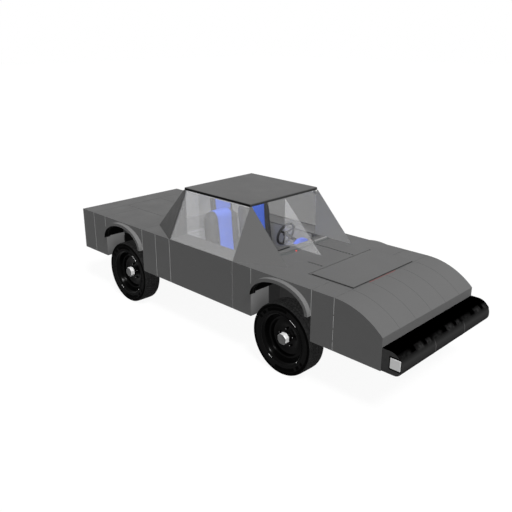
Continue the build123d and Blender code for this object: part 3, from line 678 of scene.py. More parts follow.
def arch_linings():
    """Bands of rubber round the cut edge of each arch: x = a cos t, z = b sin t from its spring line."""
    rise = high("wheel_flares")[2] - SPRING - FLARE_THICKNESS - 0.0012
    turn = np.linspace(0.0, pi, 40)
    band = rounded_outline(0.0016, 0.031, 0.0006, 1)
    bands = []
    for middle, half in wells():
        reach = half - FLARE_THICKNESS - 0.0012
        for _, side in SIDES:
            path = np.stack([
                middle + reach * np.cos(turn), np.full_like(turn, side * (BODY_Y - 0.0155)),
                SPRING + rise * np.sin(turn),
            ], axis=1)
            bands.append(swept(band, path, up=(0, 1, 0)))
    return bands


def bead(width):
    """Outline of a bead of sealant, hardly proud of the panel."""
    return rounded_outline(width, 0.0022, 0.0005, 1)


def upright_seams():
    """Beads up the body's sides; over the wheels they stop at the arches, and one is broken by screws."""
    arch = high("wheel_housings")[2] - 0.24
    feet = {1: UNDERSIDE, 2: arch, 5: arch, 6: UNDERSIDE, 12: arch, 15: arch}
    stretches = [(seam_x(number), foot, BELT) for number, foot in feet.items()]
    breaks = np.array([0.0, 0.17, 0.20, 0.40, 0.43, 0.66, 0.69, 1.0])
    levels = UNDERSIDE + breaks * (BELT - UNDERSIDE)
    stretches += [(seam_x(16), foot, top) for foot, top in zip(levels[::2], levels[1::2])]
    # behind each door, on the quarter's edge
    stretches.append((low("door_right")[0] - 0.0085, UNDERSIDE, BELT))
    shells = [
        swept(bead(0.005), np.linspace((x, -BODY_Y, foot), (x, -BODY_Y, top), 3), up=(0, -1, 0))
        for x, foot, top in stretches
    ]
    return shells + [mirrored(shell) for shell in shells]


def deck_seams():
    """Fine beads across the decks and down the curve of the nose.

    The nose falls along a circle: z = belt - (R - sqrt(R^2 - (x - nose)^2)).
    """
    run, fall = FACE_X - NOSE_X, 0.224
    radius = (run ** 2 + fall ** 2) / (2 * fall)
    x = np.linspace(NOSE_X, FACE_X, 24)
    z = BELT - (radius - np.sqrt(radius ** 2 - (x - NOSE_X) ** 2))
    shells = [
        swept(bead(0.004), np.stack([x, np.full_like(x, y), z], axis=1)) for y in np.arange(-2, 3) * GRID
    ]
    for number, inner in ((1, 0.0), (2, 0.30), (5, CABIN_Y), (15, 0.54), (16, 0.0)):
        for _, side in SIDES:
            ends = [(seam_x(number), side * y, BELT) for y in (inner, BODY_Y)]
            shells.append(swept(bead(0.004), np.linspace(*ends, 3)))
    return shells


# ================================================================ wheels
TREAD_FOOT = 0.394             # radius where the tyre's wall gives way to its tread
CAP_FACE = 0.1005              # hub cap's face beyond the middle of the tyre
STUD_CIRCLE = 0.098            # radius on which the wheel's studs stand


def tyre_shells(centre, side, settings):
    """Tyre with a block tread.

    Crown: radius = mid + H * (1 - |y/W|^n)^(1/n) over the width y; below it the sidewall falls back
    as a parabola to the bead.  Cross grooves and two pairs of ring grooves are cut into the crown.
    """
    mid, crown, half_width, power = 0.370, 0.038, 0.115, 9.0
    # out from the middle of the tread in millimetres, close together at the edges of the ring grooves
    edges = (0.0, 8, 17, 18.5, 23.5, 25, 33, 42, 51, 60, 61.5, 66.5, 68, 76, 85, 93, 100, 104)
    edges = np.array(edges) * MM
    flat = np.concatenate([-edges[:0:-1], edges])
    # over the shoulder, as shares of the crown's height
    drop = np.array([0.78, 0.68, 0.56, 0.42, 0.26, 0.10])
    radius_flat = mid + crown * (1 - np.abs(flat / half_width) ** power) ** (1 / power)
    radius_drop = mid + crown * drop
    y_drop = half_width * (1 - drop ** power) ** (1 / power)
    # down the sidewall to the bead, as shares of its height, with one raised ring
    fall = np.array([0.0, 0.07, 0.12, 0.14, 0.30, 0.54, 0.56, 0.67, 0.70, 0.76, 0.79, 0.9, 1.0])
    ring = np.interp(fall, [0.67, 0.70, 0.76, 0.79], [0, 1, 1, 0])
    radius_fall = mid - 0.083 * fall
    y_fall = half_width - 0.011 * fall ** 2 - 0.002 * ring
    y = np.concatenate([-y_fall[::-1], -y_drop[::-1], flat, y_drop, y_fall])
    radius = np.concatenate([radius_fall[::-1], radius_drop[::-1], radius_flat, radius_drop, radius_fall])
    walls = np.zeros(len(fall) + len(drop))
    tread = np.concatenate([walls, np.ones(len(flat)), walls])

    # round the tyre, as shares of one pitch: a cross groove with sloping walls, then a block
    steps = np.array([0.0, 0.03, 0.11, 0.19, 0.22, 0.36])
    local = np.concatenate([steps, steps + 0.5])
    pitch = 2 * pi / settings.pitches
    turn = ((np.arange(settings.pitches)[:, None] + local[None, :]) * pitch).ravel()
    phase = np.tile(local, settings.pitches)

    distance = np.abs(y) / MM
    rings = np.interp(distance, [17, 18.5, 23.5, 25, 60, 61.5, 66.5, 68], [0, 1, 1, 0, 0, 1, 1, 0])
    staggered = ((distance > 21) & (distance < 64))
    first, second = (
        np.interp((phase + late) % 1.0, [0, 0.03, 0.19, 0.22], [0, 1, 1, 0]) for late in (0.0, 0.5)
    )
    cross = np.where(staggered[:, None], second[None, :], first[None, :])
    fade = np.interp(distance, [0, 98, 106], [1, 1, 0.0])
    depth = tread[:, None] * np.maximum(rings[:, None], cross * fade[:, None]) * settings.groove
    angle = turn[None, :] + settings.skew * pitch * y[:, None] / half_width
    shown = radius[:, None] - depth
    sunk = (y[:, None] > 0) * in_wall_bands(shown, angle) * 0.0018
    points = centre + np.stack([
        shown * np.sin(angle), side * (y[:, None] - sunk), shown * np.cos(angle),
    ], axis=-1)
    return [grid_shell(np.concatenate([points, points[:1]]))]


def in_wall_bands(radius, angle):
    """True in the sunk bands of the sidewall: two long arcs, each with two short blocks behind it."""
    degrees = np.degrees(angle + 1e-6) % 180
    arc = (degrees > 146) | (degrees < 13)
    blocks = ((degrees > 132) & (degrees < 140)) | ((degrees > 120) & (degrees < 126))
    return (arc | blocks) & (radius > 0.3240) & (radius < 0.3593)


def tyre_zone(at, hub):
    """Material of each face of a tyre by its middle: 0 wall, 1 tread, 2 shoulder and sunk bands."""
    along, up = at[:, 0] - hub[0], at[:, 2] - hub[2]
    radius = np.hypot(along, up)
    outer = abs(at[:, 1]) > abs(hub[1])
    bands = in_wall_bands(radius, np.arctan2(along, up)) & outer
    return np.where(radius > TREAD_FOOT, 1, np.where((radius > 0.366) | bands, 2, 0))


def rim_shells(centre, side):
    """Steel wheel: a deep dish turned from its profile, with a hub boss and five lug nuts."""
    half = 0.109
    outer = [
        (0.0, 0.045), (0.050, 0.045), (0.054, 0.043), (0.056, 0.036), (0.058, 0.026), (0.064, 0.019),
        (0.074, 0.016), (0.100, 0.015), (0.128, 0.017), (0.140, 0.022), (0.168, 0.026), (0.190, 0.025),
        (0.206, 0.018), (0.222, 0.015), (0.234, 0.017), (0.242, 0.024), (0.247, 0.036), (0.256, 0.062),
        (0.264, 0.084), (0.270, 0.094), (0.278, 0.102), (0.285, 0.1085), (0.289, 0.1105), (0.2925, 0.1098),
        (0.2935, 0.1075), (0.2915, 0.1055), (0.287, 0.1045), (0.285, 0.100),
    ]
    inner = [
        (0.285, -half + 0.004), (0.289, -half + 0.001), (0.289, -half - 0.002), (0.283, -half - 0.001),
        (0.275, -half + 0.004), (0.268, -0.080), (0.243, -0.004), (0.234, 0.001), (0.048, 0.001),
        (0.048, -0.0027), (0.02006, -0.0027), (0.02006, 0.0438), (0.0, 0.0438),
    ]
    profile = np.array(outer + inner) * (1, side)
    shells = [turned(profile, centre, steps=128)]
    for nut in range(5):
        angle = 2 * pi * nut / 5
        place = centre + STUD_CIRCLE * np.array([sin(angle), 0, cos(angle)])
        head = np.array([(0, 0.014), (0.012, 0.014), (0.012, 0.028), (0.0095, 0.032), (0, 0.032)])
        shells.append(turned(head * (1, side), place, steps=6))
        stud = np.array([(0, 0.030), (0.0062, 0.030), (0.0062, 0.0335), (0.0045, 0.036), (0, 0.037)])
        shells.append(turned(stud * (1, side), place, steps=16))
    return shells


def stud_zone(at, hub):
    """1 for the faces of the bare stud ends in the lug nuts, else 0."""
    radius = np.hypot(at[:, 0] - hub[0], at[:, 2] - hub[2])
    reach = abs(at[:, 1]) - abs(hub[1])
    return (abs(radius - STUD_CIRCLE) < 0.0075) & (reach > 0.0322) & (reach < 0.0372)


def lip_arc(centre, side, start, end):
    """A slim bright bar, a painted highlight, that follows the rim's lip between two angles from the top,
    towards the front.
    """
    angle = np.radians(np.linspace(start, end, 12))
    path = centre + np.stack([
        0.2905 * np.sin(angle), np.full_like(angle, side * 0.1105), 0.2905 * np.cos(angle),
    ], axis=1)
    return swept(rounded_outline(0.004, 0.004, 0.0015, 2), path, up=(0, 1, 0))


def cap_shells(centre, side):
    """Octagonal hub cap: a profile turned in eight flat steps, chamfered round its face."""
    profile = [
        (0.0, 0.0452), (0.058, 0.0452), (0.0638, 0.047), (0.0648, 0.050), (0.0640, CAP_FACE - 0.005),
        (0.0615, CAP_FACE - 0.0015), (0.058, CAP_FACE), (0.030, CAP_FACE), (0.0, CAP_FACE),
    ]
    return [turned(np.array(profile) * (1, side), centre, steps=8, turn=radians(22.5))]


def bare_zinc(name, hex_colour, roughness):
    """Zinc, cast or plated: a bright metal with a fine grain."""
    return coated(
        name, linear(hex_colour), spread=0.1, patch_mm=20, roughness=roughness, specular=0.5, bump_mm=0.02,
        grain_mm=2.0, metallic=1.0,
    )


class VINTAGE_CAR_OT_wheels(bpy.types.Operator):
    """Add the four tyres, rims and hub caps"""

    bl_idname = "vintage_car.wheels"
    bl_label = "Wheels"

    def execute(self, context):
        settings = context.scene.vintage_car_tyre
        # vulcanised rubber, moulded: deep black walls, and a tread that road dust has greyed
        tread_dust = linear("#2A2A2A")
        rubbers = (
            coated(
                "tyre_sidewall_rubber", linear("#0E0E0E"), spread=0.25, patch_mm=40, roughness=0.75,
                specular=0.04, bump_mm=0.2, grain_mm=2.0,
            ),
            coated(
                "tyre_tread_rubber", linear("#202020"), spread=0.25, patch_mm=40, roughness=0.85,
                specular=0.04, bump_mm=0.25, grain_mm=2.0, dust=tread_dust,
            ),
            coated(
                "tyre_shoulder_rubber", linear("#020202"), spread=0.2, patch_mm=40, roughness=0.9,
                specular=0.02, bump_mm=0.2, grain_mm=2.0,
            ),
        )
        # stoved enamel on pressed steel: jet black and glossy
        enamel = coated(
            "black_wheel_enamel", linear("#040404"), spread=0.1, patch_mm=60, roughness=0.2,
            specular=0.035, bump_mm=0.03, grain_mm=6.0,
        )
        # studs plated and rolled; bright zinc bars on the rim's lip are painted highlights, set where the
        # glints fall
        studs = bare_zinc("zinc_plated_stud", "#6A6A6A", 0.35)
        zinc = bare_zinc("painted_glint_zinc", "#E8E8E8", 0.3)
        # spun aluminium: a brushed grey face and polished flats round it
        cap_metals = (
            coated("brushed_aluminium", linear("#707070"), spread=0.25, patch_mm=60, grain_mm=1.5),
            coated(
                "polished_aluminium", linear("#E6E6E6"), patch_mm=30, roughness=0.25, specular=0.5,
                bump_mm=0.02, grain_mm=5.0, metallic=0.1,
            ),
        )
        for end in ("front", "rear"):
            for hand, side in SIDES:
                place = f"{end}_{hand}"
                tyre_low, tyre_high = low(f"tyre_{place}"), high(f"tyre_{place}")
                centre = (tyre_low + tyre_high) / 2
                body = f"wheel_{place}"
                new_piece(
                    f"tread_tyre_{place}", tyre_shells(centre, side, settings), rubbers, body,
                    crease=28, replaces=(f"tyre_{place}",),
                    second=lambda at, hub=centre: tyre_zone(at, hub),
                )
                new_piece(
                    f"steel_rim_{place}", rim_shells(centre, side), (enamel, studs), body,
                    replaces=(f"rim_{place}",), second=lambda at, hub=centre: stud_zone(at, hub),
                )
                # painted highlights: bright bars on the lip at the angles where the glints fall
                glint_bars = [lip_arc(centre, side, *arc) for arc in ((24, 43), (-154, -143), (127, 131))]
                new_piece(f"balance_weights_{place}", glint_bars, zinc, body, crease=40)
                new_piece(
                    f"chrome_cap_{place}", cap_shells(centre, side), cap_metals, body,
                    crease=15, replaces=(f"hub_cap_{place}",),
                    second=lambda at, hub=centre: abs(at[:, 1] - hub[1]) < CAP_FACE - 0.001,
                )
        return {"FINISHED"}


# ================================================================ glass
def pane(name, tint, dust, mirror):
    """Toughened glass: a clear sheet, a film of dust that scatters light both ways, and a reflection.

    A ray crosses two faces of a pane: each has half the dust, and the square root of what is let by.
    """
    material, tree, place = new_material(name)
    sheet = node(tree, "BsdfTransparent", {"Color": (*((tint ** 0.5,) * 3), 1.0)})[0]
    if dust:
        film = uneven(tree, place, 400, dust * 0.46, dust * 0.54, 3.0)
        for scatter in ("BsdfDiffuse", "BsdfTranslucent"):
            sheet = node(tree, "AddShader", (sheet, node(tree, scatter, {"Color": film})[0]))[0]
    shine = node(tree, "BsdfGlossy", {"Color": (1, 1, 1, 1), "Roughness": 0.08})[0]
    glass = node(tree, "MixShader", (1 - (1 - mirror) ** 0.5, sheet, shine))[0]
    node(tree, "OutputMaterial", {"Surface": glass})
    return material


class VINTAGE_CAR_OT_glass(bpy.types.Operator):
    """Finish the window panes"""

    bl_idname = "vintage_car.glass"
    bl_label = "Glass"

    def execute(self, context):
        dress(pane("clear_screen_glass", tint=0.99, dust=0.0, mirror=0.004), "windscreen")
        dress(pane("smoked_rear_glass", tint=0.02, dust=0.25, mirror=0.02), "rear_glass")
        dress(pane("side_glass_bright", tint=0.965, dust=0.076, mirror=0.13), "side_glass_right")
        dress(pane("side_glass_smoked", tint=0.20, dust=0.05, mirror=0.03), "side_glass_left")
        dress(pane("web_glass", tint=0.95, dust=0.145, mirror=0.05), "windscreen_web")
        dress(pane("clear_web_glass", tint=0.95, dust=0.05, mirror=0.0), "rear_web")
        # draught panes clamped to the rear pillars, inside the doors' line
        panes = block_pair(
            (low("roof")[0] + 0.010, -0.435), (CABIN_Y - 0.005, CABIN_Y - 0.002),
            (BELT + 0.004, ROOF_UNDER - 0.012), 0.0012, 1,
        )
        dusty = pane("draught_glass", tint=0.97, dust=0.09, mirror=0.0)
        new_piece("draught_panes", panes, dusty, "chassis", crease=40)
        return {"FINISHED"}


# ================================================================ bumper
class VINTAGE_CAR_OT_bumper(bpy.types.Operator):
    """Add the front bumper with its seams and side lamps"""

    bl_idname = "vintage_car.bumper"
    bl_label = "Front bumper"

    def execute(self, context):
        lower, upper = low("front_bumper"), high("front_bumper")
        depth, height = upper[0] - lower[0], upper[2] - lower[2]
        middle = (lower + upper) / 2
        outline = rounded_outline(depth, height, (0.006, 0.084, 0.140, 0.006), 12)
        # carried along -Y, an outline's x runs forward and its y up
        bevel = 0.004
        shrunk = outline * (1 - 2 * bevel / np.array([depth, height]))
        stations = (-BODY_Y, -BODY_Y + bevel, BODY_Y - bevel, BODY_Y)
        rings = [shrunk, outline, outline, shrunk]
        # the ends are matt where the mould's grain is left on
        plastics = (
            bumper_plastic("moulded_polypropylene", upper, linear("#363636")),
            coated(
                "grained_bumper_end", linear("#424242"), spread=0.1, patch_mm=50, roughness=0.8,
                specular=0.02,
            ),
        )
        new_piece(
            "moulded_bumper", [lofted_y(rings, stations, middle)], plastics, "chassis",
            crease=35, replaces=("front_bumper",), second=lambda at: abs(at[:, 1]) > BODY_Y - 0.0005,
        )
        strip = outline * (1 + 0.0024 / np.array([depth, height]))
        seams = [
            lofted_y([strip, strip], (y - 0.003, y + 0.003), middle) for y in (0.02 - GRID, 0.02 + GRID)
        ]
        seal = bumper_plastic("bumper_seal", upper, linear("#646464"))
        new_piece("bumper_seams", seams, seal, "chassis")
        lamp_low, lamp_high = low("bumper_lamps"), high("bumper_lamps")
        lamp_at = (lamp_low + lamp_high) / 2
        length, rise = lamp_high[0] - lamp_low[0], lamp_high[2] - lamp_low[2]
        lens, bezel = [], []
        for _, side in SIDES:
            face = side * lamp_high[1]
            flat = rounded_outline(length - 0.014, rise - 0.014, (0.006, 0.006, 0.008, 0.006), 3)
            stations = (side * BODY_Y, face - side * 0.002, face)
            lens.append(lofted_y([flat, flat, flat * 0.97], stations, lamp_at))
            ring = rounded_outline(length + 0.004, rise + 0.018, (0.012, 0.012, 0.040, 0.012), 4)
            stations = [side * (BODY_Y + out) for out in (-0.004, 0.0012, 0.002)]
            bezel.append(lofted_y([ring, ring, ring * 0.98], stations, lamp_at - (0.004, 0, 0)))
        # opal acrylic, moulded: milky white
        opal = coated(
            "opal_acrylic", linear("#E6E6E6"), spread=0.02, patch_mm=30, roughness=0.35, specular=0.2,
            bump_mm=0.02, grain_mm=4.0,
        )
        new_piece(
            "side_lamp_lens", lens, opal, "chassis", crease=40, replaces=("bumper_lamps",),
        )
        black = rubber("bezel_rubber", "#050505")
        new_piece("side_lamp_bezel", bezel, black, "chassis", crease=40)
        return {"FINISHED"}


def lofted_y(rings, stations, middle):
    """Outlines in the plane of X and Z, one at each station along Y, with both ends closed."""
    return lofted([
        np.stack([middle[0] + ring[:, 0], np.full(len(ring), y), middle[2] + ring[:, 1]], axis=1)
        for ring, y in zip(rings, stations)
    ])


# offset along the bumper, half width, half height and strength of each painted reflection
BUMPER_REFLECTIONS = ((0.500, 0.075, 0.034, 1.0), (0.342, 0.045, 0.028, 0.9), (0.185, 0.11, 0.030, 0.45))


def bumper_plastic(name, upper, lower_grey):
    """Moulded polypropylene: black above, grey below the shoulder, with painted reflections in threes, pale
    blotches along the shoulder.

    A mark is strong where cos(pi (y + offset) / GRID) peaks; two of the three are smaller or fainter.
    """
    material, tree, place = new_material(name)
    at = node(tree, "SeparateXYZ", (place,))
    shoulder = upper[2] - 0.050
    grey_below = blended(tree, at["Z"], shoulder, shoulder - 0.055, linear("#000000"), lower_grey)
    marks = 0.0
    for offset, width, size, strength in BUMPER_REFLECTIONS:
        along = node(tree, "Math", (at["Y"], offset), operation="ADD")[0]
        turn = node(tree, "Math", (along, pi / GRID), operation="MULTIPLY")[0]
        wave = node(tree, "Math", (turn,), operation="COSINE")[0]
        edge = cos(pi * width / GRID)
        mark = node(tree, "MapRange", (wave, edge, 0.4 * edge + 0.6, 0.0, strength))["Result"]
        for reach in (size, -size):
            share = node(tree, "MapRange", (at["Z"], shoulder + reach, shoulder + reach / 4))["Result"]
            mark = node(tree, "Math", (mark, share), operation="MULTIPLY")[0]
        marks = node(tree, "Math", (marks, mark), operation="MAXIMUM")[0]
    # painted reflections: the marks, broken into blotches, turn the colour a pale grey
    blotch = uneven(tree, place, 30, 0.35, 1.0, 1.0, start=0.35, end=0.6)
    blotched = node(tree, "Math", (marks, blotch), operation="MULTIPLY")[0]
    colour = blended(tree, blotched, 0.0, 1.0, grey_below, linear("#2C2C2C"))
    return surfaced(material, place, colour, 0.5, specular=0.0, bump_mm=0.05, grain_mm=3.0)


# ================================================================ hood, vents and roof edge
def strip_between(start, end, width, height):
    """A low bar with rounded edges from one point to another on the upper face of the body."""
    start, end = np.asarray(start, float), np.asarray(end, float)
    along = end - start
    half = np.array([np.linalg.norm(along), width, height]) / 2
    turn = np.arctan2(along[1], along[0])
    points, quads = spun(rounded_block(-half, half, 0.001, 1), np.zeros(3), (0, 0, 1), turn)
    return points + (start + end) / 2, quads


class VINTAGE_CAR_OT_trim(bpy.types.Operator):
    """Add the seals, vents, rails, tail lamps and blank plate of the outside"""

    bl_idname = "vintage_car.trim"
    bl_label = "Outside trim"

    def execute(self, context):
        self.hood_gap_shadows()
        self.cowl_vents()
        self.roof_edges()
        self.tail()
        return {"FINISHED"}

    def hood_gap_shadows(self):
        """Dark strips round the hood and their tails on the fenders, a painted shadow of the hood's gap,
        and a red pinstripe before it.
        """
        # dark strips beside and before the hood: painted shadow of its gap
        seal = rubber("hood_gap_painted_shadow", "#484848")
        hood_low, hood_high = low("hood"), high("hood")
        step, front = hood_low[0] + 0.036, hood_high[0] + 0.0012
        foot, head = BELT + 0.0005, hood_high[2] - 0.0005
        beside = (hood_high[1], hood_high[1] + 0.0024)
        trim = block_pair((step, hood_high[0]), beside, (foot, head), 0.001, 1)
        trim.append(rounded_block(
            (front - 0.0012, hood_low[1], foot), (front + 0.0012, hood_high[1], head), 0.001, 1,
        ))
        new_piece("hood_gap_shadow_strips", trim, seal, "hood", crease=40)
        # the strips' tails, on the fenders beside the hinge: more painted shadow of the gap
        tails = block_pair(
            (hood_low[0] - 0.006, step + 0.006), (hood_high[1] + 0.0052, hood_high[1] + 0.0112),
            (BELT, BELT + 0.002), 0.001, 1,
        )
        tail_shadow = rubber("seal_tail_painted_shadow", "#2A2A2A")
        new_piece("hood_gap_shadow_tails", tails, tail_shadow, "chassis", crease=40)

        # red enamel pinstripe at the foot of the hood's front edge
        red = coated(
            "red_pinstripe", linear("#9A3030"), spread=0.1, patch_mm=20, roughness=0.5, specular=0.05,
            bump_mm=0.02, grain_mm=2.0,
        )
        line = hood_high[0] + 0.0105
        stripe = strip_between((line, -0.29, BELT), (line, 0.19, BELT), 0.004, 0.002)
        new_piece("hood_pinstripe", [stripe], red, "chassis")

    def cowl_vents(self):
        """Two rows of short slots in the cowl, in line along the car."""
        slots = []
        for side, first in ((-1, 1.036), (1, 0.72)):
            y = side * 0.262
            for x in np.arange(first, SCREEN_FOOT_X + 0.225, 0.042):
                slots.append(strip_between((x, y, BELT), (x + 0.026, y, BELT), 0.016, 0.002))
        shadow = rubber("vent_shadow_black", "#030303")
        new_piece("cowl_vent_slots", slots, shadow, "chassis", crease=40)

    def roof_edges(self):
        """Drip rails along the roof's sides, and seals under its front and rear edge."""
        roof_low, roof_high = low("roof"), high("roof")
        rails = block_pair(
            (roof_low[0], roof_high[0]), (roof_high[1] - 0.009, roof_high[1] + 0.003),
            (roof_low[2] + 0.001, roof_high[2] - 0.004), 0.003,
        )
        new_piece("drip_rails", rails, rubber("drip_rail_rubber", "#101010"), "chassis")
        seals = [rounded_block(
            (x - 0.003, roof_low[1], roof_low[2] + 0.001),
            (x + 0.003, roof_high[1], roof_high[2] - 0.008), 0.002,
        ) for x in (roof_low[0], roof_high[0])]
        grey = rubber("screen_seal_rubber", "#3A3A3A")
        new_piece("screen_top_seals", seals, grey, "chassis")

    def tail(self):
        """Ribbed tail lamps and a blank plate."""
        # red acrylic lenses with moulded ribs
        lamp_red = coated(
            "red_acrylic", linear("#7A1414"), spread=0.08, patch_mm=20, roughness=0.3, specular=0.3,
            bump_mm=0.02, grain_mm=4.0,
        )
        lamp_low, lamp_high = low("tail_lamps"), high("tail_lamps")
        ribs = []
        for y in np.linspace(0.58, 0.78, 11):
            ribs += block_pair(
                (lamp_low[0] - 0.002, lamp_low[0] + 0.002), (y - 0.006, y + 0.006),
                (lamp_low[2] + 0.006, lamp_high[2] - 0.006), 0.002,
            )
        dress(lamp_red, "tail_lamps")
        new_piece("tail_lamp_ribs", ribs, lamp_red, "chassis", crease=50)
        plate = rounded_block((TAIL_X - 0.004, -0.26, 0.70), (TAIL_X + 0.001, 0.26, 0.81), 0.002)
        aluminium = coated(
            "blank_plate_enamel", linear("#C8C8C4"), spread=0.05, patch_mm=60, roughness=0.5,
            specular=0.3,
        )
        new_piece("blank_plate", [plate], aluminium, "chassis", crease=40)


# ================================================================ cabin
# name, x of the face at its top, y, top, width, thickness, width of the band, length of the cushion
SEATS = (
    ("driver", -0.307, 0.314, 1.463, 0.434, 0.180, 0.200, 0.43),
    ("passenger", -0.247, -0.314, 1.463, 0.434, 0.180, 0.200, 0.43),
    ("rear", -0.625, 0.0, 1.570, 0.340, 0.080, 0.225, 0.10),
)


def swelling(across, up, height, wing):
    """How far a pad's wings stand forward: wing * smoothstep towards its sides, faded out below its top."""
    aside = np.clip((abs(across) - 0.125) / 0.06, 0, 1)
    fade = np.clip((height - 0.06 - up) / 0.20, 0, 1)
    return wing * aside ** 2 * (3 - 2 * aside) * fade ** 2 * (3 - 2 * fade)


def pillow(width, height, thickness, radii, roll, top_roll, wing=0.0, steps=9):
    """Pad standing on its lower edge, its face at y 0: rounded outlines inset round a half circle.

    inset(t) = roll * (1 - sin t), distance(t) = -thickness / 2 * (1 + cos t); the top has its own roll.
    """
    rings = []
    for t in np.linspace(0, pi, 2 * steps + 1):
        share = 1 - sin(t) ** 0.85
        inset, top = roll * share, top_roll * share
        outline = rounded_outline(
            width - 2 * inset, height - inset - top, [max(r - inset, 0.004) for r in radii], 8,
        )
        depth = -thickness / 2 * (1 + np.sign(cos(t)) * abs(cos(t)) ** 0.85)
        up = outline[:, 1] + (height + inset - top) / 2
        forward = max(0.0, 1 + 2 * depth / thickness)
        swollen = depth + swelling(outline[:, 0], up, height, wing) * forward
        rings.append(np.stack([outline[:, 0], swollen, up], axis=1))
    face = rings[-1].copy()
    for shrink in (0.8, 0.6, 0.4, 0.2):
        inner = face * (shrink, 1.0, 1.0)
        inner[:, 2] = height / 2 + (face[:, 2] - height / 2) * shrink
        inner[:, 1] = swelling(inner[:, 0], inner[:, 2], height, wing)
        rings.append(inner)
    return rings


def leaned(points, foot, lean, y):
    """Points (across, depth, up) of a backrest stood at a seat's foot and leaned back by a slope."""
    angle = np.arctan(lean)
    across, depth, up = np.moveaxis(np.asarray(points), -1, 0)
    x = foot[0] + depth * cos(angle) - up * sin(angle)
    return np.stack([x, y + across, foot[1] + depth * sin(angle) + up * cos(angle)], axis=-1)


def laid(points, foot, length, y):
    """Points (across, depth, up) of a seat cushion laid flat, its face up and its lower edge forward."""
    across, depth, up = np.moveaxis(np.asarray(points), -1, 0)
    return np.stack([foot[0] + length - up, y + across, foot[1] + depth], axis=-1)


def stuffed(piece, settings, off_seam):
    """Swell a pad as its stuffing does: cloth under pressure between its sewn channels.

    Each channel sinks as depth * exp(-(distance / 9 mm)^2) and is pinned.  No point moves by more than
    the swell.
    """
    frames = 20
    work = bpy.data.objects.new(f"{piece.name}_cloth", piece.data.copy())
    bpy.context.scene.collection.objects.link(work)
    bpy.context.view_layer.objects.active = work
    remesh = work.modifiers.new("remesh", "REMESH")
    remesh.mode, remesh.voxel_size = "VOXEL", settings.voxel
    even = work.modifiers.new("even", "SMOOTH")
    even.factor, even.iterations = 0.5, 3
    for modifier in (remesh, even):
        bpy.ops.object.modifier_apply(modifier=modifier.name)
    mesh = work.data
    rest = np.empty(len(mesh.vertices) * 3, dtype=np.float32)
    mesh.vertices.foreach_get("co", rest)
    normal = np.empty_like(rest)
    mesh.vertices.foreach_get("normal", normal)
    rest, normal = rest.reshape(-1, 3), normal.reshape(-1, 3)
    distance = off_seam(rest)
    rest -= normal * (settings.channel * np.exp(-(distance / 0.009) ** 2))[:, None]
    mesh.vertices.foreach_set("co", rest.ravel())
    pinned = work.vertex_groups.new(name="sewn")
    pinned.add(np.flatnonzero(distance < settings.voxel * 0.6).tolist(), 1.0, "REPLACE")
    cloth = work.modifiers.new("cloth", "CLOTH")
    cloth.settings.use_pressure = True
    cloth.settings.uniform_pressure_force = 4.0
    cloth.settings.vertex_group_mass = "sewn"
    cloth.settings.mass = 0.05
    cloth.settings.effector_weights.gravity = 0.0
    cloth.point_cache.frame_end = frames
    for step in range(1, frames + 1):
        bpy.context.scene.frame_set(step)
    shaped = work.evaluated_get(bpy.context.evaluated_depsgraph_get()).data
    moved = np.empty(rest.size, dtype=np.float32)
    shaped.vertices.foreach_get("co", moved)
    move = moved.reshape(-1, 3) - rest
    length = np.linalg.norm(move, axis=1, keepdims=True)
    move *= np.minimum(1.0, settings.swell / np.maximum(length, 1e-9))
    work.modifiers.clear()
    work.vertex_groups.clear()
    mesh.vertices.foreach_set("co", (rest + move).ravel())
    smooth = work.modifiers.new("smooth", "SUBSURF")
    smooth.levels = smooth.render_levels = 1
    bpy.ops.object.modifier_apply(modifier=smooth.name)
    old, piece.data = piece.data, work.data
    bpy.data.objects.remove(work)
    bpy.data.meshes.remove(old)
    piece.data.shade_smooth()
    bpy.context.scene.frame_set(1)


def surface_of(piece):
    """What finds the nearest or the struck point of a pad."""
    mesh = piece.data
    corners = [vertex.co[:] for vertex in mesh.vertices]
    return BVHTree.FromPolygons(corners, [face.vertices[:] for face in mesh.polygons])


def sewn_band(piece, start, inward, lift, edge):
    """A band of cloth laid on a pad: each point of a grid is sent inwards until it strikes the pad.

    Point = strike - lift * inward.  Gives the band, its edges turned under, and a cord along each edge.
    """
    pad = surface_of(piece)
    rows, columns = start.shape[:2]
    struck = np.empty_like(start)
    for row in range(rows):
        for column in range(columns):
            way = Vector(inward[row, column])
            hit = pad.ray_cast(Vector(start[row, column]), way, 0.4)[0]
            if hit is None:
                hit = pad.find_nearest(Vector(start[row, column]))[0]
            struck[row, column] = hit
    out = struck - inward * lift
    under = struck + inward * 0.006
    band = lofted(np.concatenate([out, under[:, ::-1]], axis=1))
    cords = []
    for column in (0, columns - 1):
        path = struck[:, column] - inward[:, column] * lift * 0.6
        cords.append(swept(rounded_outline(edge, edge, edge * 0.499, 3), path, up=(0, 1, 0)))
    return band, cords


def back_line(height, deep):
    """Route (depth, up) of a band up a backrest's face, over its top and down behind, and its way in."""
    turn = np.linspace(0, pi, 17)[1:-1]
    front = [(0.06, up) for up in np.linspace(0.09, height - 0.10, 16)]
    over = [(-deep / 2 + (deep / 2 + 0.06) * cos(t), height - 0.10 + 0.16 * sin(t)) for t in turn]
    behind = [(-deep - 0.06, up) for up in np.linspace(height - 0.10, 0.12, 10)]
    ways = [(-1.0, 0.0)] * len(front) + [(-cos(t), -sin(t)) for t in turn] + [(1.0, 0.0)] * len(behind)
    return np.array(front + over + behind), np.array(ways)


def base_line(run):
    """Route (depth, up) of a band along a cushion and over its front edge, and its way in."""
    turn = np.linspace(0, pi / 2, 8)[1:]
    flat = [(0.06, up) for up in np.linspace(run - 0.10, 0.05, 14)]
    nose = [(0.06 * cos(t) - 0.05 * (1 - cos(t)), 0.05 - 0.11 * sin(t)) for t in turn]
    ways = [(-1.0, 0.0)] * len(flat) + [(-cos(t), sin(t)) for t in turn]
    return np.array(flat + nose), np.array(ways)


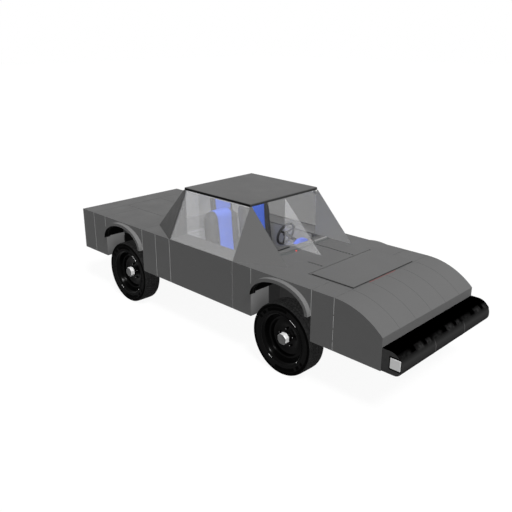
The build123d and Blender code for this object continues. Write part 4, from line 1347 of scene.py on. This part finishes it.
def band_grid(line, ways, spread):
    """Points (across, depth, up) of a band about a route, and the way from each of them to the pad."""
    across = np.linspace(-1, 1, 13)
    grid, aim = np.zeros((2, len(line), len(across), 3))
    grid[..., 0] = np.reshape(spread, (-1, 1)) * across
    grid[..., 1:] = line[:, None]
    aim[..., 1:] = ways[:, None]
    return grid, aim


def widened(half, height, up):
    """Half the width of a band on a backrest, which spreads towards its top."""
    return half * (1 + 0.14 * np.clip((up - 0.45 * height) / (0.55 * height), 0, 1) ** 2)


class VINTAGE_CAR_OT_seats(bpy.types.Operator):
    """Add the three padded seats and their stands"""

    bl_idname = "vintage_car.seats"
    bl_label = "Seats"

    def execute(self, context):
        settings = context.scene.vintage_car_seat
        paints = context.scene.vintage_car_paint
        # grained vinyl, stuffed: soft sheen, fine leather grain
        vinyl = coated(
            "seat_vinyl", paints.seat, spread=0.05, patch_mm=90, roughness=0.55, specular=0.12,
            bump_mm=0.25, grain_mm=2.5,
        )
        # woven wool: saturated and quite matt
        cloth = coated(
            "blue_seat_cloth", paints.insert, spread=0.04, patch_mm=60, roughness=0.95, specular=0.02,
            bump_mm=0.3, grain_mm=1.6,
        )
        # the same wool round a cord, darkened by wear
        piping = coated(
            "blue_piping", linear("#5068C0"), spread=0.05, patch_mm=30, roughness=0.9, specular=0.02,
            bump_mm=0.2, grain_mm=1.6,
        )
        covers = (vinyl, cloth, piping)
        stands = [self.seat(settings, covers, *measures) for measures in SEATS]
        steel = coated(
            "seat_stand_paint", linear("#1C1C1C"), spread=0.2, patch_mm=60, bump_mm=0.1, grain_mm=4.0,
        )
        new_piece("seat_stands", stands, steel, "chassis", crease=40)
        return {"FINISHED"}

    def seat(self, settings, covers, name, face_x, y, top_z, width, thickness, band_width, length):
        """One seat: two stuffed pads with a band and piping sewn over them.  Gives its stand."""
        vinyl, cloth, piping = covers
        cushion_z, floor_z = low("seat_inserts")[2], low("seat_shells")[2]
        lean, slack = 0.1, 0.008
        height = (top_z - cushion_z) * (1 + lean ** 2) ** 0.5
        foot = (face_x + lean * (top_z - cushion_z), cushion_z)
        slim, deep = width - 0.004, thickness - slack
        wing = 0.036 if width > 0.4 else 0.0
        corners = (0.03, 0.03, 0.10, 0.10)
        back_pad = pillow(
            slim, height - slack, deep, corners, roll=0.022, top_roll=deep * 0.49, wing=wing,
        )
        back = leaned(back_pad, (foot[0] - slack, foot[1]), lean, y)
        run = length + thickness * 0.9
        base_pad = pillow(
            slim, run - slack, 0.104, (0.06, 0.06, 0.03, 0.03), roll=0.030, top_roll=0.030,
        )
        base = laid(base_pad, (foot[0], foot[1] - 0.004), length, y)
        half = band_width / 2

        def off_back(at):
            """Distance from a backrest's two seams."""
            return abs(abs(at[:, 1] - y) - widened(half, height, at[:, 2] - foot[1]))

        def off_base(at):
            """Distance from a cushion's two seams."""
            return abs(abs(at[:, 1] - y) - half)

        first = name == "driver"
        rest_piece = new_piece(
            f"{name}_seat_back", [lofted(back)], vinyl, "chassis", crease=60,
            replaces=("seat_shells",) if first else (),
        )
        base_piece = new_piece(
            f"{name}_seat_base", [lofted(base)], vinyl, "chassis", crease=60,
        )
        stuffed(rest_piece, settings, off_back)
        stuffed(base_piece, settings, off_base)

        line, ways = back_line(height, deep)
        grid, aim = band_grid(line, ways, widened(half, height, line[:, 1]))
        back_band, back_cords = sewn_band(
            rest_piece, leaned(grid, foot, lean, y), leaned(aim, (0.0, 0.0), lean, 0.0), 0.004, 0.009,
        )
        grid, aim = band_grid(*base_line(run), half)
        base_band, base_cords = sewn_band(
            base_piece, laid(grid, foot, length, y), laid(aim, (0.0, 0.0), 0.0, 0.0), 0.004, 0.009,
        )
        new_piece(
            f"{name}_seat_band", [back_band, base_band], cloth, "chassis", crease=60,
            replaces=("seat_inserts",) if first else (),
        )
        cords = back_cords + base_cords
        new_piece(f"{name}_seat_piping", cords, piping, "chassis", crease=60)
        stand_y = width / 2 - 0.06
        rear, front = foot[0] - thickness + 0.02, foot[0] + length - 0.06
        return rounded_block(
            (rear, y - stand_y, floor_z), (front, y + stand_y, cushion_z - 0.112), 0.006,
        )


def foam_vinyl(name, hex_colour, bump_mm):
    """Moulded vinyl over foam: dull, with a soft leather grain."""
    return coated(
        name, linear(hex_colour), spread=0.05, patch_mm=60, roughness=0.8, specular=0.05, bump_mm=bump_mm,
        grain_mm=2.5,
    )


def board_vinyl(name, hex_colour, patch_mm=150, grain_mm=2.5):
    """Vinyl or paint over a flat board: dull, bleached unevenly by the sun."""
    return coated(
        name, linear(hex_colour), patch_mm=patch_mm, roughness=0.8, specular=0.04, bump_mm=0.1,
        grain_mm=grain_mm,
    )


class VINTAGE_CAR_OT_interior(bpy.types.Operator):
    """Add the dashboard's roll and controls, the steering wheel, the door tops and the headlining"""

    bl_idname = "vintage_car.interior"
    bl_label = "Dashboard and linings"

    def execute(self, context):
        self.dashboard()
        self.binnacle()
        self.steering_wheel()
        self.door_linings()
        self.roof_linings()
        return {"FINISHED"}

    def dashboard(self):
        """Skin, roll, strips, slot, rib and warning lamp of the dashboard."""
        dress(foam_vinyl("dash_vinyl", "#5A5A5A", 0.15), "dashboard")
        dress(rubber("control_plastic", "#1A1A1A"), "steering_column")
        # roll: a bar with a half round top, carried across the car
        outline = rounded_outline(0.086, 0.030, (0.004, 0.004, 0.014, 0.014), 6)
        roll = swept(outline, np.linspace((0.612, -0.54, BELT), (0.612, 0.54, BELT), 5))
        skin = foam_vinyl("dash_roll_vinyl", "#686868", 0.15)
        new_piece("dash_roll", [roll], skin, "chassis", crease=40)

        def plate(x, y, top=0.003, radius=0.002, foot=BELT):
            """A low plate on the dashboard between two stations each way."""
            return rounded_block((x[0], y[0], foot - 0.002), (x[1], y[1], foot + top), radius)

        strips = [
            plate((0.664, DASH_FRONT - 0.002), (-0.50, 0.54)), plate((0.700, 0.728), (-0.28, -0.01)),
        ]
        # a black plate where the slot opens: painted shade
        slot = plate((0.576, 0.600), (-0.262, -0.065), 0.002, foot=BELT + 0.015)
        rib = plate((0.640, 0.664), (0.30, 0.53), 0.026, 0.008)
        for name, plates, skin in (
            ("dash_dark_strips", strips, rubber("dash_shadow_strip", "#5E6060")),
            ("dash_slot", [slot], rubber("slot_painted_shade", "#040404")),
            ("dash_rib", [rib], foam_vinyl("dash_rib_vinyl", "#8C8C8C", 0.1)),
        ):
            new_piece(name, plates, skin, "chassis", crease=40)

        # red acrylic dome with a lamp under it
        lamp = np.array([(0.011, -0.001), (0.011, 0.002), (0.009, 0.006), (0.005, 0.0085), (0, 0.0092)])
        glow = coated(
            "red_warning_lens", linear("#F04A4A"), spread=0.02, patch_mm=20, roughness=0.3,
            specular=0.2, bump_mm=0.01, grain_mm=2.0,
        )
        lens = turned(lamp, (0.711, -0.092, BELT + 0.003), (0, 0, 1), 32)
        new_piece("warning_lamp", [lens], glow, "chassis", crease=50)

    def binnacle(self):
        """Pale blue enamel with two dials."""
        blue = coated(
            "binnacle_enamel", linear("#5068D0"), spread=0.04, patch_mm=60, specular=0.06, bump_mm=0.03,
        )
        dress(blue, "instrument_panel")
        panel_low, panel_high = low("instrument_panel"), high("instrument_panel")
        rim = (
            (0.0, 0.003), (0.014, 0.003), (0.0145, 0.005), (0.0165, 0.005), (0.017, 0.003), (0.017, -0.002),
        )
        mark = ((-0.0034, -0.0006, 0.0098), (-0.0028, 0.0006, 0.0128))
        needle = ((-0.0042, -0.0006, 0.0), (-0.0036, 0.0006, 0.0105))
        dials, ticks = [], []
        for y in (0.155, 0.243):
            at = np.array([panel_low[0], y, (panel_low[2] + panel_high[2]) / 2])
            dials.append(turned(rim, at, (-1, 0, 0), 48))
            turns = [(mark, degrees) for degrees in range(-120, 121, 30)] + [(needle, -118)]
            for ends, degrees in turns:
                points, quads = rounded_block(*ends, 0.0003, 1)
                ticks.append(spun((points + at, quads), at, (1, 0, 0), radians(degrees)))
        new_piece("dials", dials, rubber("dial_black", "#101010"), "chassis", crease=40)
        paint = coated(
            "dial_marks", linear("#E0E0DC"), spread=0.02, patch_mm=20, specular=0.05, bump_mm=0.01,
            grain_mm=2.0,
        )
        new_piece("dial_ticks", ticks, paint, "chassis", crease=40)

    def steering_wheel(self):
        """Rim, hub and three dished spokes, in the plane square to the column."""
        centre = (low("steering_wheel") + high("steering_wheel")) / 2
        tilt, radius, thick = radians(16), 0.140, 0.016
        axis = (-cos(tilt), 0, sin(tilt))
        t = np.linspace(0, 2 * pi, 25)
        rim = np.stack([radius + thick * np.cos(t), thick * np.sin(t)], axis=1)
        hub = (
            (0.0, 0.0105), (0.0125, 0.0105), (0.0125, -0.013), (0.034, -0.013), (0.036, -0.010),
            (0.036, 0.010), (0.032, 0.018), (0.022, 0.0205), (0.0, 0.0215),
        )
        shells = [turned(rim, centre, axis, 96), turned(hub, centre, axis, 64)]
        along, side, rise = axes_of(axis)
        bend = ((0.028, 0.004), (0.045, 0.003), (0.080, 0.0), (0.115, -0.001), (0.138, 0.0))
        for angle in np.radians((180, 60, -60)):
            way = cos(angle) * rise + sin(angle) * side
            path = [centre + reach * way + dish * along for reach, dish in bend]
            shells.append(swept(rounded_outline(0.026, 0.011, 0.004, 3), path, up=along))
        grip = coated(
            "steering_wheel_bakelite", linear("#383838"), spread=0.1, patch_mm=40, roughness=0.5,
            specular=0.05, bump_mm=0.03,
        )
        new_piece(
            "fine_steering_wheel", shells, grip, "steering_wheel", crease=40,
            replaces=("steering_wheel",),
        )

    def door_linings(self):
        """Padded tops of the doors, and their cards with three beads."""
        # two tones of one vinyl, as painted light and shade: the left top lighter against the roof's shadow
        # on it, the right top darker against the light that its glass adds
        for hand, side, tone in (("left", 1, "#767676"), ("right", -1, "#555555")):
            door_low, door_high = low(f"door_{hand}"), high(f"door_{hand}")
            top = rounded_block(
                (door_low[0] + 0.002, side * (CABIN_Y + 0.002), BELT - 0.001),
                (door_high[0] - 0.004, side * (BODY_Y - 0.025), BELT + 0.003), 0.002,
            )
            lining = board_vinyl(f"door_top_vinyl_{hand}", tone)
            new_piece(f"door_top_{hand}", [top], lining, f"door_{hand}", crease=40)
            cards = [rounded_block(
                (door_low[0] + 0.03, side * (CABIN_Y - 0.007), UNDERSIDE + 0.06),
                (door_high[0] - 0.05, side * (CABIN_Y + 0.001), BELT - 0.012), 0.004,
            )]
            face = side * (CABIN_Y - 0.0075)
            for z in (0.70, 0.80, 0.90):
                path = np.linspace((door_low[0] + 0.05, face, z), (door_high[0] - 0.07, face, z), 3)
                cards.append(swept(rounded_outline(0.007, 0.004, 0.0019, 2), path))
            trim = board_vinyl(f"door_card_vinyl_{hand}", "#848484")
            new_piece(f"door_card_{hand}", cards, trim, f"door_{hand}", crease=40)

    def roof_linings(self):
        """Headlining with sewn listings and side strips, corner fillets and the board behind the seats."""
        rear, front = low("roof")[0], high("roof")[0]
        lined = [rounded_block(
            (rear + 0.03, -0.515, ROOF_UNDER - 0.007), (front - 0.03, 0.515, ROOF_UNDER), 0.003,
        )]
        for x in np.arange(rear + 0.28, front - 0.1, GRID):
            path = np.linspace((x, -0.51, ROOF_UNDER - 0.008), (x, 0.51, ROOF_UNDER - 0.008), 3)
            lined.append(swept(rounded_outline(0.006, 0.005, 0.0024, 2), path))
        lined += block_pair(
            (rear + 0.008, front - 0.030), (0.526, 0.538), (ROOF_UNDER - 0.023, ROOF_UNDER), 0.003,
        )
        # perforated vinyl, stretched: off-white
        vinyl = board_vinyl("headlining_vinyl", "#C8C8C8", 120, 4.0)
        new_piece("headlining", lined, vinyl, "chassis", crease=40)
        # fillets that close the corners between the glass, the screen pillars and the roof
        fillets = block_pair(
            (front - 0.024, front - 0.006), (0.530, 0.556), (ROOF_UNDER - 0.036, ROOF_UNDER), 0.003,
        ) + block_pair(
            (front - 0.012, front + 0.012), (0.530, 0.556), (ROOF_UNDER - 0.044, ROOF_UNDER - 0.016), 0.003,
        )
        grey = rubber("fillet_rubber", "#888888")
        new_piece("corner_fillets", fillets, grey, "chassis", crease=40)
        # pressed board behind the seats, painted: mid grey
        bulkhead = rounded_block((-0.756, -0.520, 0.84), (-0.750, 0.520, 1.106), 0.002)
        pressed = board_vinyl("bulkhead_board_paint", "#7E7E7E", 120, 4.0)
        new_piece("bulkhead_board", [bulkhead], pressed, "chassis", crease=40)


class VINTAGE_CAR_PT_sidebar(bpy.types.Panel):
    """The operators in the order they are run, with their settings"""

    bl_idname = "VINTAGE_CAR_PT_sidebar"
    bl_label = "Vintage Car"
    bl_space_type = "VIEW_3D"
    bl_region_type = "UI"
    bl_category = "Vintage Car"

    def draw(self, context):
        for step in STEPS:
            self.layout.operator(f"vintage_car.{step}")
        for name, kind in GROUPS.items():
            box = self.layout.box()
            box.label(text=kind.__name__)
            for setting in kind.__annotations__:
                box.prop(getattr(context.scene, name), setting)


CLASSES = (
    StudioSettings, PaintSettings, TyreSettings, SeatSettings, VINTAGE_CAR_OT_studio, VINTAGE_CAR_OT_body,
    VINTAGE_CAR_OT_wheels, VINTAGE_CAR_OT_glass, VINTAGE_CAR_OT_bumper, VINTAGE_CAR_OT_trim,
    VINTAGE_CAR_OT_seats, VINTAGE_CAR_OT_interior, VINTAGE_CAR_PT_sidebar,
)
GROUPS = {
    "vintage_car_studio": StudioSettings, "vintage_car_paint": PaintSettings,
    "vintage_car_tyre": TyreSettings, "vintage_car_seat": SeatSettings,
}
STEPS = ("studio", "body", "wheels", "glass", "bumper", "trim", "seats", "interior")


def register():
    """Register the settings and the operators."""
    for made in CLASSES:
        bpy.utils.register_class(made)
    for name, kind in GROUPS.items():
        setattr(bpy.types.Scene, name, PointerProperty(type=kind))


def unregister():
    """Take the settings and the operators away again."""
    for name in GROUPS:
        delattr(bpy.types.Scene, name)
    for made in reversed(CLASSES):
        bpy.utils.unregister_class(made)


def main():
    register()
    for step in STEPS:
        getattr(bpy.ops.vintage_car, step)()


if __name__ == "__main__":
    main()
